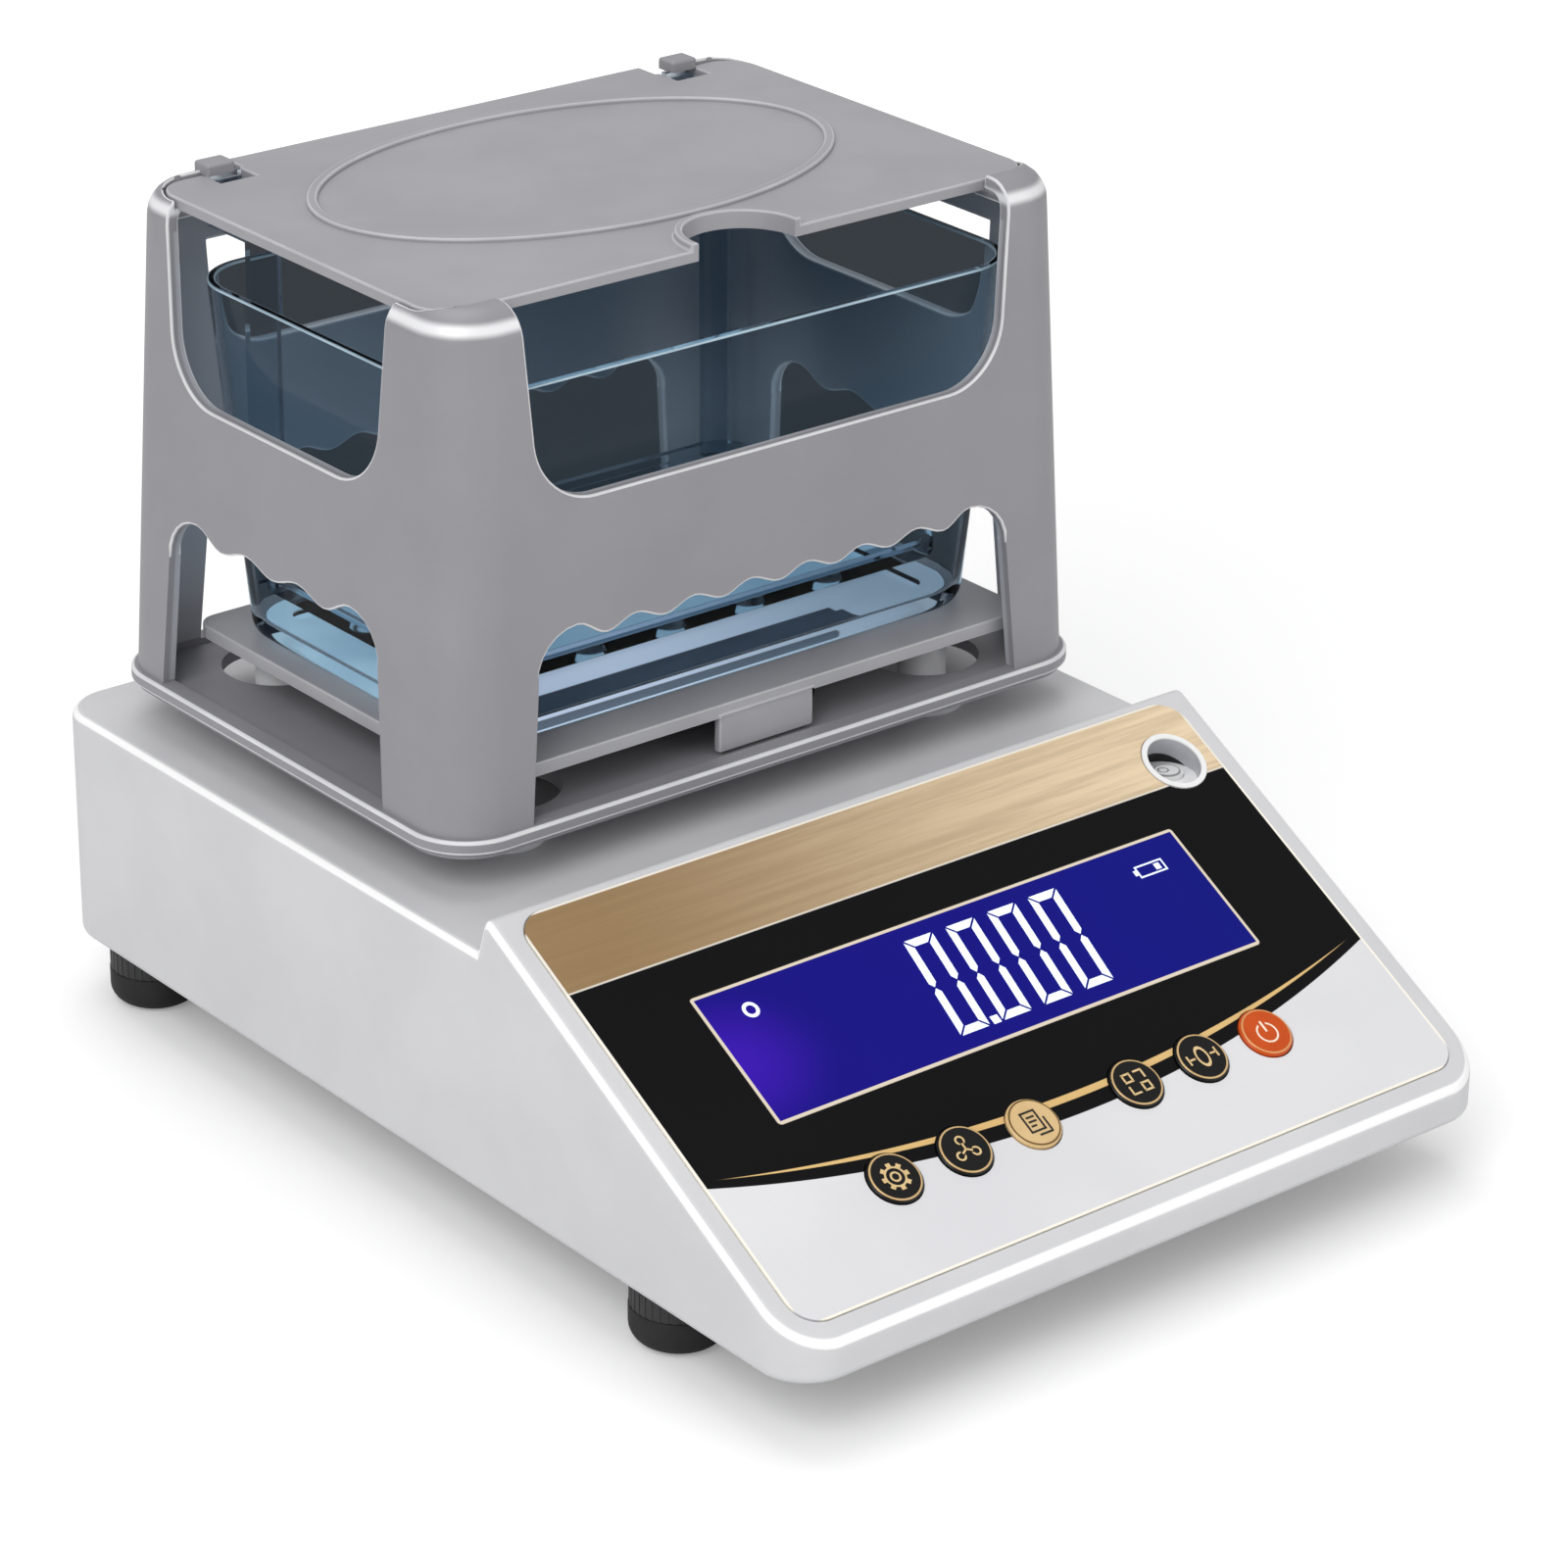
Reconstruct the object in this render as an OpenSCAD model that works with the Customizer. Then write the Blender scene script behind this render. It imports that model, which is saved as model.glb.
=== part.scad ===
// Electronic gold tester: a bench balance that weighs a sample in air and then in water.
// A grey frame floats on a load cell, a clear tank stands inside it on fixed pillars.
// X runs to the right, the sloped panel faces -Y, Z is up, the origin is on the table.

/* [Base housing] */
// Width of the housing
base_w = 194; // [190:1:215]
// Depth of the housing, front to back
base_d = 267; // [262:1:300]
// Height of the housing's underside above the table
foot_h = 15; // [13:0.5:20]
// Height of the rear deck above the underside
deck_h = 56; // [52:0.5:66]
// Height of the console's back edge above the underside
console_h = 65.4; // [62:0.2:72]
// Horizontal length of the sloped panel
console_run = 102; // [98:0.5:108]
// Height of the vertical lip at the front
lip_h = 9; // [7.5:0.5:11]
// Radius of the housing's upright corners
corner_r = 12; // [8:0.5:16]
// Radius of the housing's long edges
edge_r = 2.2; // [1:0.2:3]
// Wall of the housing
wall = 2.5; // [2:0.1:3.2]
// Thickness of the cover under the housing
cover_t = 2.5; // [2:0.1:3.5]

/* [Panel] */
// Distance from the overlay to each side of the housing
overlay_side = 5.5; // [5:0.5:9]
// Distance from the overlay to the panel's front edge
overlay_front = 5.5; // [5:0.5:9]
// Thickness of the overlay
overlay_t = 0.8; // [0.6:0.1:1.2]
// Distance from the panel's back edge to the overlay
overlay_s = 3; // [2.5:0.5:4]
// Width of the display window
display_w = 134; // [120:0.5:136]
// Height of the display window, along the slope
display_l = 33.8; // [28:0.2:36]
// Distance from the panel's back edge to the display window
display_s = 34; // [32:0.5:38]
// Radius of a key cap
key_r = 6.2; // [5.2:0.1:6.6]
// Distance between two keys of a group
key_pitch = 18.7; // [17.5:0.1:19.5]
// Distance between the middles of the two inner keys
key_gap = 28.6; // [20:0.2:30]
// Distance from the panel's back edge to the row of keys
key_s = 88.2; // [85:0.1:90]
// Travel of a key
key_travel = 0.6; // [0.3:0.1:0.9]
// Radius of the bubble level's bezel
level_r = 7.75; // [7:0.05:8]
// Distance of the bubble level from the side of the housing
level_side = 16.7; // [16:0.1:18]
// Distance from the panel's back edge to the bubble level
level_s = 18.5; // [16:0.5:20]

/* [Weighing frame] */
// Distance from the foot of the walls to each side of the housing
frame_side = 9.2; // [8:0.2:11]
// Distance from the foot of the walls to the console's back edge
frame_front = 22.5; // [20.5:0.5:24]
// Distance from the foot of the walls to the back of the housing
frame_back = 13.5; // [12:0.5:15]
// Height of the frame's floor above the deck
frame_gap = 8.8; // [8.2:0.2:11]
// How far the walls lean in from foot to top, each side
frame_lean = 4.75; // [3:0.25:5]
// Top of the corner posts above the deck
post_h = 127.2; // [126.2:0.2:140]
// Radius of the upright corner posts
post_r = 13; // [11:0.5:14]
// Rounding of the posts' domed tops
dome_r = 9; // [6:0.5:10]
// Wall of the frame
frame_wall = 3; // [2.4:0.1:3.6]
// Thickness of the frame's floor
frame_floor = 2.9; // [2.4:0.1:3.5]
// How far the foot rim stands out from the walls
rim_out = 1.6; // [1:0.1:2.5]
// Lowest edge of the upper windows above the deck
sill_h = 82; // [78:0.5:90]
// Highest point of the lower windows above the deck
arch_h = 54.4; // [50:0.2:62]
// Depth of the scallops along the lower windows
scallop = 2.3; // [1:0.1:3.5]
// Width of a corner post at its foot, along the front
post_w = 20.5; // [18:0.5:24]
// Width of a corner post at its foot, along the side
post_side = 22.2; // [20:0.2:26]
// Height of the rail across the top of the back and the right wall
header_h = 14; // [10:0.5:18]

/* [Top plate] */
// How far the plate's side edges lie inside the foot of the walls
plate_side = 7.55; // [7.3:0.05:9.5]
// How far the plate's front and back edges lie inside the foot of the walls
plate_end = 12.25; // [12:0.25:13.5]
// Thickness of the plate
plate_t = 2.5; // [2:0.1:3.5]
// Radius of the plate's corners
plate_r = 8; // [5:0.5:10]
// Depth of the tongue that lies on the back rail
tongue_d = 6.3; // [3:0.1:6.5]
// Distance of the oval ring from the side edges of the plate
oval_side = 17.25; // [14.25:0.5:30]
// Half the depth of the plate that the oval ring leaves free
oval_end = 16.25; // [12.25:0.5:24]
// Height of the oval ring
oval_h = 0.9; // [0.5:0.1:1.5]
// Radius of the finger notch in the front edge
notch_r = 13; // [10:0.5:16]

/* [Water tank] */
// Distance of the tank's rim inside the foot of the side walls
tank_side = 10.8; // [9.8:0.2:14.8]
// Half the depth between the frame's walls that the tank's rim leaves free
tank_end = 12.5; // [12:0.25:15]
// Height of the tank
tank_h = 82; // [76:0.5:84]
// How far each wall leans out from floor to rim
tank_lean = 5.5; // [4.5:0.25:6]
// Wall of the tank
tank_wall = 2; // [1.6:0.1:2.6]
// Radius of the tank's corners at the rim
tank_r = 15; // [12:0.5:18]
// Distance of the platform inside the foot of the side walls
platform_side = 11.8; // [9.8:0.2:13.8]
// Half the depth between the frame's walls that the platform leaves free
platform_end = 10; // [9.5:0.25:11.5]
// Thickness of the platform
platform_t = 3.3; // [2.5:0.1:4]
// Height of the platform's top above the deck
platform_h = 24; // [23:0.2:26]
// Radius of a pillar
pillar_r = 5.5; // [4:0.25:6.5]
// Distance of the pillars inside the foot of the side walls
pillar_side = 28.8; // [27.8:0.5:33.8]
// Distance of the pillars inside the foot of the front and back walls
pillar_end = 22.5; // [20.5:0.5:26.5]

/* [Basket] */
// Room between the tray and each side of the tank's rim
tray_side = 10; // [9.5:0.5:11]
// Half the depth of the tank's rim that the tray leaves free
tray_end = 12; // [11:0.5:17]
// Height of the tray above the tank's floor
tray_gap = 7; // [5:0.5:12]
// Width of an arm
arm_w = 8; // [6:0.5:10]
// Distance of the arms' middles from the sides of the tray
arm_side = 4.5; // [4:0.5:11]

/* [Feet and load cell] */
// Radius of a rubber foot
foot_r = 10.5; // [9:0.5:12]
// Radius of a foot's screw
stud_r = 3; // [2.5:0.1:4]
// Distance of the feet from the sides of the housing
foot_side = 13; // [13:0.5:19]
// Distance of the rear feet from the back of the housing
foot_rear = 18.5; // [16:0.5:24]
// Distance of the front feet from the front of the housing
foot_front = 53.5; // [48:0.5:60]
// Distance of the load cell from the back wall
cell_back = 7.5; // [5:0.5:12]
// Width of the load cell
cell_w = 24; // [18:0.5:30]
// Height of the load cell
cell_h = 22; // [18:0.5:24]
// Radius of the hub that carries the frame
hub_r = 8; // [6:0.5:10]

/* [Hidden] */
// A hair of overlap that makes a cut go right through
cut = 1;
// Faces round a bore, and round a cast corner
round_fn = 64;
cast_fn = 40;
// Clearances: a turning screw, a loose part, a part that moves past another
turn_gap = 0.05;
loose_gap = 0.3;
move_gap = 1;

// Housing heights and places
deck_z = foot_h + deck_h;
console_z = foot_h + console_h;
front_y = -base_d / 2;
back_y = base_d / 2;
console_y = front_y + console_run;
riser_run = 2.9;
slope = atan((console_h - lip_h) / console_run);
slope_l = console_run / cos(slope);
overlay_w = base_w - 2 * overlay_side;
overlay_l = slope_l - overlay_s - overlay_front;
level_x = base_w / 2 - level_side;
cover_z = foot_h + cover_t;
overlay_seat = 0.5;
overlay_r = 7;
// Fit of the lens, the keys and the bezel in their holes
lens_gap = 0.2;
key_gap_r = 0.3;
key_x = [for (side = [-1, 1], i = [0:2])
    side * (key_gap / 2 + (side < 0 ? 2 - i : i) * key_pitch)];
key_rise = 1.1;
key_flange_t = 1.2;
key_flange_out = 1.3;
lens_rise = 0.2;
module_t = 6.5;
module_edge = 3;
board_t = 1.6;
board_z = -wall - module_t - board_t;
board_s = 28;
board_l = slope_l - board_s - 16.5;
switch_h = 3.2;
board_post_r = 3.2;
screw_r = 1.4;
// Board posts: sideways places and places down the slope
board_post_in = 6;
board_post_x = display_w / 2 + 5;
board_post_s = [board_s + board_post_in, board_s + board_l - board_post_in];
board_w = 2 * (board_post_x + board_post_in + 2);
board_pilot = 5;
level_depth = 9;
level_seat = 0.4;
level_wall = 0.7;

// Weighing frame: size and place on the deck
frame_w = base_w - 2 * frame_side;
frame_d = base_d - console_run - frame_front - frame_back;
frame_y = back_y - frame_back - frame_d / 2;
floor_z = deck_z + frame_gap;
floor_top = floor_z + frame_floor;
rim_z = floor_top + 1.5;
rim_t = 3.2;
post_z = deck_z + post_h;
sill_z = deck_z + sill_h;
arch_z = deck_z + arch_h;
plate_z = post_z - 5;
plate_y = frame_y + 1.4;
plate_w = frame_w - 2 * plate_side;
plate_d = frame_d - 2 * plate_end;
oval_a = plate_w / 2 - oval_side;
oval_b = plate_d / 2 - oval_end;
oval_y = 7;
ring_w = 1.8;
lip_rise = 1.6;
lip_w = 1.8;
notch_in = 1;
side_shift = 3;
window_taper = 2.8;
sill_in = 5.1;
head_in = 1.6;
header_z = plate_z - header_h;
plate_gap = 0.5;
post_hole_r = 13;
sill_r = 14;
arch_r = 10.5;
arch_rise = 1.2;
// Lean of the walls, in mm per mm of height
lean = frame_lean / (post_z - rim_z);
seat_l = 15;
seat_t = 3;

// Tank and basket
tank_w = frame_w - 2 * tank_side;
tank_d = frame_d - 2 * tank_end;
platform_w = frame_w - 2 * platform_side;
platform_d = frame_d - 2 * platform_end;
pillar_x = frame_w / 2 - pillar_side;
pillar_y = frame_d / 2 - pillar_end;
pillar_pin_r = 3;
pillar_flange_r = pillar_r + 4;
pillar_flange_t = 2;
platform_z = deck_z + platform_h;
platform_y = frame_y - 4.5;
tank_y = frame_y - 3;
tank_floor = 3.4;
tank_top = platform_z + tank_h;
pocket_t = 1.2;
tab_w = 26;
tab_t = 2;
tray_w = tank_w - 2 * tray_side;
tray_d = tank_d - 2 * tray_end;
arm_x = tray_w / 2 - arm_side;
tray_z = platform_z + tank_floor + tray_gap;
tray_t = 2;
tray_lip = 4;
tray_hole_r = 4;
arm_t = 2;
tray_back = tank_y + tray_d / 2 + 2;
tray_r = 9;
hook_y = plate_y + plate_d / 2 - 5.5;
hook_w = 9;
hook_l = 7;
hook_t = 2.6;
slot_gap = 0.6;
tongue_w = 2 * (arm_x - arm_w / 2) - 3;
step_z = (tank_top + plate_z) / 2 + 1;

// Load cell and hub
cell_z = deck_z - 21.5;
cell_bottom = cell_z - cell_h;
cell_hub_in = 12;
cell_front = frame_y - cell_hub_in;
cell_l = back_y - wall - cell_back - cell_front;
cell_hole_r = 6;
cell_slot = 4;
bolt_r = 2.5;
bolt_head_t = 3;
bolt_l = cell_h + 6;
bolt_in = 6;
bolt_pitch = 12;
bolt_ys = [cell_front + cell_l - bolt_in - bolt_pitch, cell_front + cell_l - bolt_in];
hub_bolt_xs = [-8.2, 8.2];
hub_bolt_l = 8;
hub_flange_r = 11;
hub_flange_t = 3;
carrier_t = 3;
pad_t = 1.4;
pad_r = 6;
carrier_z = floor_z - pad_t - carrier_t;
arm_reach_x = frame_w / 2 - 43.8;
arm_reach_y = frame_d / 2 - 24.5;
carrier_arm_w = 14;
carrier_disc_r = 20;
pad_points = [[-arm_reach_x, 0], [arm_reach_x, 0], [0, -arm_reach_y], [0, arm_reach_y]];
riser_l = 2 * bolt_in + bolt_pitch;

// Feet
foot_x = base_w / 2 - foot_side;
pad_h = 8.5;
screw_wheel_h = 5;
foot_points = [[-foot_x, front_y + foot_front], [foot_x, front_y + foot_front],
    [-foot_x, back_y - foot_rear], [foot_x, back_y - foot_rear]];
foot_boss_r = 7;
foot_boss_h = 10;
cover_screw_x = base_w / 2 - 10;
cover_screw_ys = [front_y + 29.5, back_y - 55.5];
cover_screw_points = [for (x = [-1, 1], y = cover_screw_ys) [x * cover_screw_x, y]];
cover_boss_r = 4.5;
cover_pilot = 9;
head_r = 2.8;
head_t = 1.5;

// Ports in the back wall
dc_x = -60;
dc_r = 5.5;
port_z = foot_h + 22;
port_l = 14;
data_x = 55;
data_w = 31;
data_h = 12.5;
plug_w = 18;
plug_h = 9;
plug_slant = 1.6;

// Level: bore of its cup, place of the plug
level_bore = level_r - level_seat - level_wall - lens_gap;
level_z = -level_depth + 1;
vial_r = 3.8;
vial_seat = 1.6;

// Board and battery behind the console
main_board_w = 60;
main_board_l = 46;
main_board_gap = 6;
main_board_x = base_w / 2 - 47;
main_board_y = back_y - 66;
main_board_in = 5;
main_board_posts = [for (x = [-1, 1], y = [-1, 1])
    [main_board_x + x * (main_board_w / 2 - main_board_in),
        main_board_y + y * (main_board_l / 2 - main_board_in)]];
battery_w = 48;
battery_l = 70;
battery_h = 25;
battery_x = -(foot_x - foot_boss_r - 1 - battery_w / 2);
battery_y = frame_y - 8;

// ---------- shared shapes ----------
module rounded(w, d, r) {
    offset(r = r)
        square([w - 2 * r, d - 2 * r], center = true);
}

// A plate with upright rounded edges, standing on z = 0
module slab(w, d, r, t) {
    linear_extrude(t)
        rounded(w, d, r, $fn = round_fn);
}

// Flat sides joined by true-round corners
module round_plate(w, d, r, t) {
    linear_extrude(t) {
        square([w - 2 * r, d], center = true);
        square([w, d - 2 * r], center = true);
        for (x = [-1, 1], y = [-1, 1])
            translate([x * (w / 2 - r), y * (d / 2 - r)])
                circle(r, $fn = round_fn);
    }
}

// Local frame on the sloped panel: x sideways, s down the slope, z out of the face
module at_panel(x = 0, s = 0, z = 0) {
    translate([0, console_y, console_z])
        rotate([slope, 0, 0])
            translate([x, -s, z])
                children();
}

module along_x(w) {
    rotate([90, 0, 90])
        linear_extrude(w, center = true)
            children();
}

// ---------- housing ----------
module side_outline() {
    offset(r = edge_r, $fn = cast_fn)
        offset(delta = -edge_r)
            polygon([[front_y, foot_h], [front_y, foot_h + lip_h], [console_y, console_z],
                [console_y + riser_run, deck_z], [back_y, deck_z], [back_y, foot_h]]);
    // The bottom edge stays sharp
    translate([front_y, foot_h])
        square([base_d, edge_r + cut]);
}

module housing_solid() {
    intersection() {
        along_x(base_w)
            side_outline();
        translate([0, 0, foot_h])
            round_plate(base_w, base_d, corner_r, console_h);
    }
}

module housing_cavity() {
    intersection() {
        along_x(base_w - 2 * wall) {
            offset(delta = -wall)
                side_outline();
            translate([front_y + wall, foot_h - cut])
                square([base_d - 2 * wall, wall + 2 * cut]);
        }
        translate([0, 0, foot_h - cut])
            round_plate(base_w - 2 * wall, base_d - 2 * wall, corner_r - wall, console_h);
    }
}

module cover_bosses() {
    intersection() {
        for (p = cover_screw_points)
            translate([p[0], p[1], cover_z])
                cylinder(h = console_h, r = cover_boss_r, $fn = round_fn);
        housing_solid();
    }
}

module board_posts() {
    for (x = [-board_post_x, board_post_x], s = board_post_s)
        at_panel(x, s, board_z + board_t)
            cylinder(h = module_t + cut, r = board_post_r, $fn = round_fn);
}

module panel_cuts() {
    at_panel(0, overlay_s + overlay_l / 2, -overlay_seat)
        slab(overlay_w + 2 * lens_gap, overlay_l + 2 * lens_gap, overlay_r, overlay_seat + cut);
    at_panel(0, display_s + display_l / 2, -wall - cut)
        slab(display_w + 2 * lens_gap, display_l + 2 * lens_gap, 1, wall + 2 * cut);
    for (x = key_x)
        at_panel(x, key_s, -wall - cut)
            cylinder(h = wall + 2 * cut, r = key_r + key_gap_r, $fn = round_fn);
    at_panel(level_x, level_s, -level_depth - cut)
        cylinder(h = level_depth + 2 * cut, r = level_r - level_seat, $fn = round_fn);
}

module rear_cuts() {
    translate([dc_x, back_y + cut, port_z])
        rotate([90, 0, 0])
            cylinder(h = wall + 2 * cut, r = dc_r + lens_gap, $fn = round_fn);
    translate([data_x, back_y, port_z])
        cube([data_w + 2 * lens_gap, 2 * wall + 2 * cut, data_h + 2 * lens_gap], center = true);
}

module base_shell() {
    color([0.86, 0.86, 0.87])
        difference() {
            union() {
                difference() {
                    housing_solid();
                    housing_cavity();
                }
                cover_bosses();
                board_posts();
            }
            panel_cuts();
            rear_cuts();
            translate([0, frame_y, deck_z - wall - cut])
                cylinder(h = wall + 2 * cut, r = hub_r + 2 * move_gap, $fn = round_fn);
            for (x = [-1, 1], y = [-1, 1])
                translate([x * pillar_x, frame_y + y * pillar_y, deck_z - wall - cut])
                    cylinder(h = wall + 2 * cut, r = pillar_pin_r + turn_gap, $fn = round_fn);
            for (p = cover_screw_points)
                translate([p[0], p[1], cover_z - cut])
                    cylinder(h = cover_pilot + cut, r = screw_r + turn_gap, $fn = round_fn);
            for (x = [-board_post_x, board_post_x], s = board_post_s)
                at_panel(x, s, board_z + board_t - cut)
                    cylinder(h = board_pilot + cut, r = screw_r + turn_gap, $fn = round_fn);
        }
}

module bottom_cover() {
    color([0.3, 0.3, 0.32])
        difference() {
            union() {
                translate([0, 0, foot_h])
                    round_plate(base_w - 2 * wall - 2 * loose_gap, base_d - 2 * wall - 2 * loose_gap,
                        corner_r - wall - loose_gap, cover_t);
                for (p = foot_points)
                    translate([p[0], p[1], foot_h])
                        cylinder(h = cover_t + foot_boss_h, r = foot_boss_r, $fn = round_fn);
                for (p = main_board_posts)
                    translate([p[0], p[1], foot_h])
                        cylinder(h = cover_t + main_board_gap, r = board_post_r, $fn = round_fn);
            }
            for (p = foot_points)
                translate([p[0], p[1], foot_h - cut])
                    cylinder(h = cover_t + foot_boss_h + 2 * cut, r = stud_r + turn_gap, $fn = round_fn);
            for (p = cover_screw_points)
                translate([p[0], p[1], foot_h - cut]) {
                    cylinder(h = cover_t + 2 * cut, r = screw_r + loose_gap, $fn = round_fn);
                    cylinder(h = head_t + cut, r = head_r + loose_gap, $fn = round_fn);
                }
        }
}

// A pan-head screw: head up from z = 0, shank down
module screw(shank_l, r = screw_r, head = head_r, t = head_t) {
    difference() {
        cylinder(h = t, r = head, $fn = round_fn);
        for (a = [0, 90])
            rotate(a)
                translate([0, 0, t])
                    cube([head * 1.2, 0.6, 1.2], center = true);
    }
    translate([0, 0, -shank_l])
        cylinder(h = shank_l + 0.01, r = r, $fn = round_fn);
}

module cover_screws() {
    color([0.55, 0.55, 0.57])
        for (p = cover_screw_points)
            translate([p[0], p[1], foot_h + head_t])
                rotate([180, 0, 0])
                    screw(cover_t - head_t + cover_pilot - cut);
}

// ---------- panel ----------
module panel_overlay() {
    color([0.84, 0.83, 0.82])
        at_panel(0, 0, -overlay_seat)
            difference() {
                translate([0, -overlay_s - overlay_l / 2, 0])
                    slab(overlay_w, overlay_l, overlay_r, overlay_t);
                translate([0, -display_s - display_l / 2, -cut])
                    slab(display_w + 2 * lens_gap, display_l + 2 * lens_gap, 1, overlay_t + 2 * cut);
                for (x = key_x)
                    translate([x, -key_s, -cut])
                        cylinder(h = overlay_t + 2 * cut, r = key_r + key_gap_r, $fn = round_fn);
                translate([level_x, -level_s, -cut])
                    cylinder(h = overlay_t + 2 * cut, r = level_r + lens_gap, $fn = round_fn);
            }
}

module display_lens() {
    color([0.08, 0.07, 0.5])
        at_panel(0, display_s + display_l / 2, -wall)
            slab(display_w, display_l, 0.8, wall + lens_rise);
}

module display_module() {
    color([0.15, 0.35, 0.2])
        at_panel(0, display_s + display_l / 2, -wall - module_t)
            slab(display_w + 1, display_l + 2 * module_edge, 1, module_t);
}

module key_board() {
    color([0.1, 0.4, 0.2])
        at_panel(0, 0, board_z)
            difference() {
                translate([0, -board_s - board_l / 2, 0])
                    slab(board_w, board_l, 2, board_t);
                for (x = [-board_post_x, board_post_x], s = board_post_s)
                    translate([x, -s, -cut])
                        cylinder(h = board_t + 2 * cut, r = screw_r + loose_gap, $fn = round_fn);
            }
}

module board_screws() {
    color([0.6, 0.6, 0.62])
        for (x = [-board_post_x, board_post_x], s = board_post_s)
            at_panel(x, s, board_z)
                rotate([180, 0, 0])
                    screw(board_t + board_pilot - cut);
}

module key_switches() {
    color([0.12, 0.12, 0.13])
        for (x = key_x)
            at_panel(x, key_s, board_z + board_t) {
                translate([-3, -3, 0])
                    cube([6, 6, switch_h - 0.8]);
                cylinder(h = switch_h, r = 1.7, $fn = round_fn);
            }
}

// One key: a domed cap, a flange that keeps it in the housing, a stem to the switch
module key_cap(i) {
    stem_z = board_z + board_t + switch_h + key_travel + loose_gap;
    flange_z = -wall - loose_gap - key_flange_t;
    at_panel(key_x[i], key_s) {
        difference() {
            translate([0, 0, flange_z])
                cylinder(h = key_rise - flange_z, r = key_r, $fn = round_fn);
            translate([0, 0, key_rise])
                rotate_extrude($fn = round_fn)
                    translate([key_r, 0])
                        rotate(45)
                            square(0.7, center = true);
        }
        translate([0, 0, flange_z])
            cylinder(h = key_flange_t, r = key_r + key_flange_out, $fn = round_fn);
        translate([0, 0, stem_z])
            cylinder(h = flange_z - stem_z + 0.01, r = 2.4, $fn = round_fn);
    }
}

module key_settings() {
    color([0.08, 0.08, 0.09])
        key_cap(0);
}

module key_function() {
    color([0.08, 0.08, 0.09])
        key_cap(1);
}

module key_enter() {
    color([0.75, 0.62, 0.42])
        key_cap(2);
}

module key_mode() {
    color([0.08, 0.08, 0.09])
        key_cap(3);
}

module key_zero() {
    color([0.08, 0.08, 0.09])
        key_cap(4);
}

module key_power() {
    color([0.78, 0.3, 0.05])
        key_cap(5);
}

// The level sits in a round cup with a thin lip
module level_bezel() {
    color([0.8, 0.8, 0.81])
        at_panel(level_x, level_s)
            difference() {
                union() {
                    cylinder(h = overlay_t - overlay_seat + 0.3, r = level_r, $fn = round_fn);
                    translate([0, 0, -level_depth])
                        cylinder(h = level_depth, r = level_bore + level_wall, $fn = round_fn);
                }
                translate([0, 0, -level_depth + 1])
                    cylinder(h = level_depth + cut, r = level_bore, $fn = round_fn);
            }
}

// A plug with a level top, wherever the panel leans
module level_body() {
    color([0.93, 0.93, 0.93])
        difference() {
            intersection() {
                at_panel(level_x, level_s, level_z)
                    cylinder(h = level_depth, r = level_bore - turn_gap, $fn = round_fn);
                at_level()
                    translate([-10, -10, -20])
                        cube(20);
            }
            at_level()
                translate([0, 0, -vial_seat])
                    cylinder(h = vial_r, r = vial_r + turn_gap, $fn = round_fn);
        }
}

// Upright local frame in the middle of the plug's level top
module at_level() {
    at_panel(level_x, level_s, level_z + vial_r)
        rotate([-slope, 0, 0])
            children();
}

module level_vial() {
    color([0.75, 0.85, 0.7])
        at_level() {
            translate([0, 0, -vial_seat])
                cylinder(h = vial_seat + 0.8, r = vial_r, $fn = round_fn);
            cylinder(h = 1.1, r = vial_r - 0.8, $fn = round_fn);
        }
}

// ---------- inside the housing ----------
module main_board() {
    color([0.1, 0.4, 0.2])
        translate([main_board_x, main_board_y, cover_z + main_board_gap])
            slab(main_board_w, main_board_l, 2, board_t);
    color([0.1, 0.1, 0.11])
        translate([main_board_x, main_board_y, cover_z + main_board_gap + board_t]) {
            translate([-9, -9, 0])
                cube([14, 14, 1.6]);
            translate([14, -14, 0])
                cube([10, 24, 8]);
            translate([-24, 4, 0])
                cylinder(h = 10, r = 4, $fn = round_fn);
        }
}

module battery_pack() {
    color([0.2, 0.22, 0.26])
        translate([battery_x, battery_y, cover_z])
            slab(battery_w, battery_l, 2, battery_h);
}

module dc_inlet() {
    color([0.1, 0.1, 0.1])
        translate([dc_x, back_y - wall, port_z])
            rotate([-90, 0, 0])
                difference() {
                    union() {
                        translate([0, 0, -port_l])
                            cylinder(h = port_l + wall, r = dc_r, $fn = round_fn);
                        translate([0, 0, -2])
                            cylinder(h = 2, r = dc_r + 2, $fn = round_fn);
                    }
                    translate([0, 0, -port_l + 4])
                        cylinder(h = port_l + wall, r = dc_r - 2.2, $fn = round_fn);
                }
    color([0.7, 0.7, 0.7])
        translate([dc_x, back_y - wall, port_z])
            rotate([-90, 0, 0])
                translate([0, 0, -port_l + 3.5])
                    cylinder(h = port_l - 4, r = 1, $fn = round_fn);
}

module data_outline(grow = 0) {
    w = plug_w / 2 + grow;
    h = plug_h / 2 + grow;
    offset(r = 1, $fn = 24)
        offset(delta = -1)
            polygon([[-w, h], [w, h], [w - plug_slant, -h], [plug_slant - w, -h]]);
}

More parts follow.
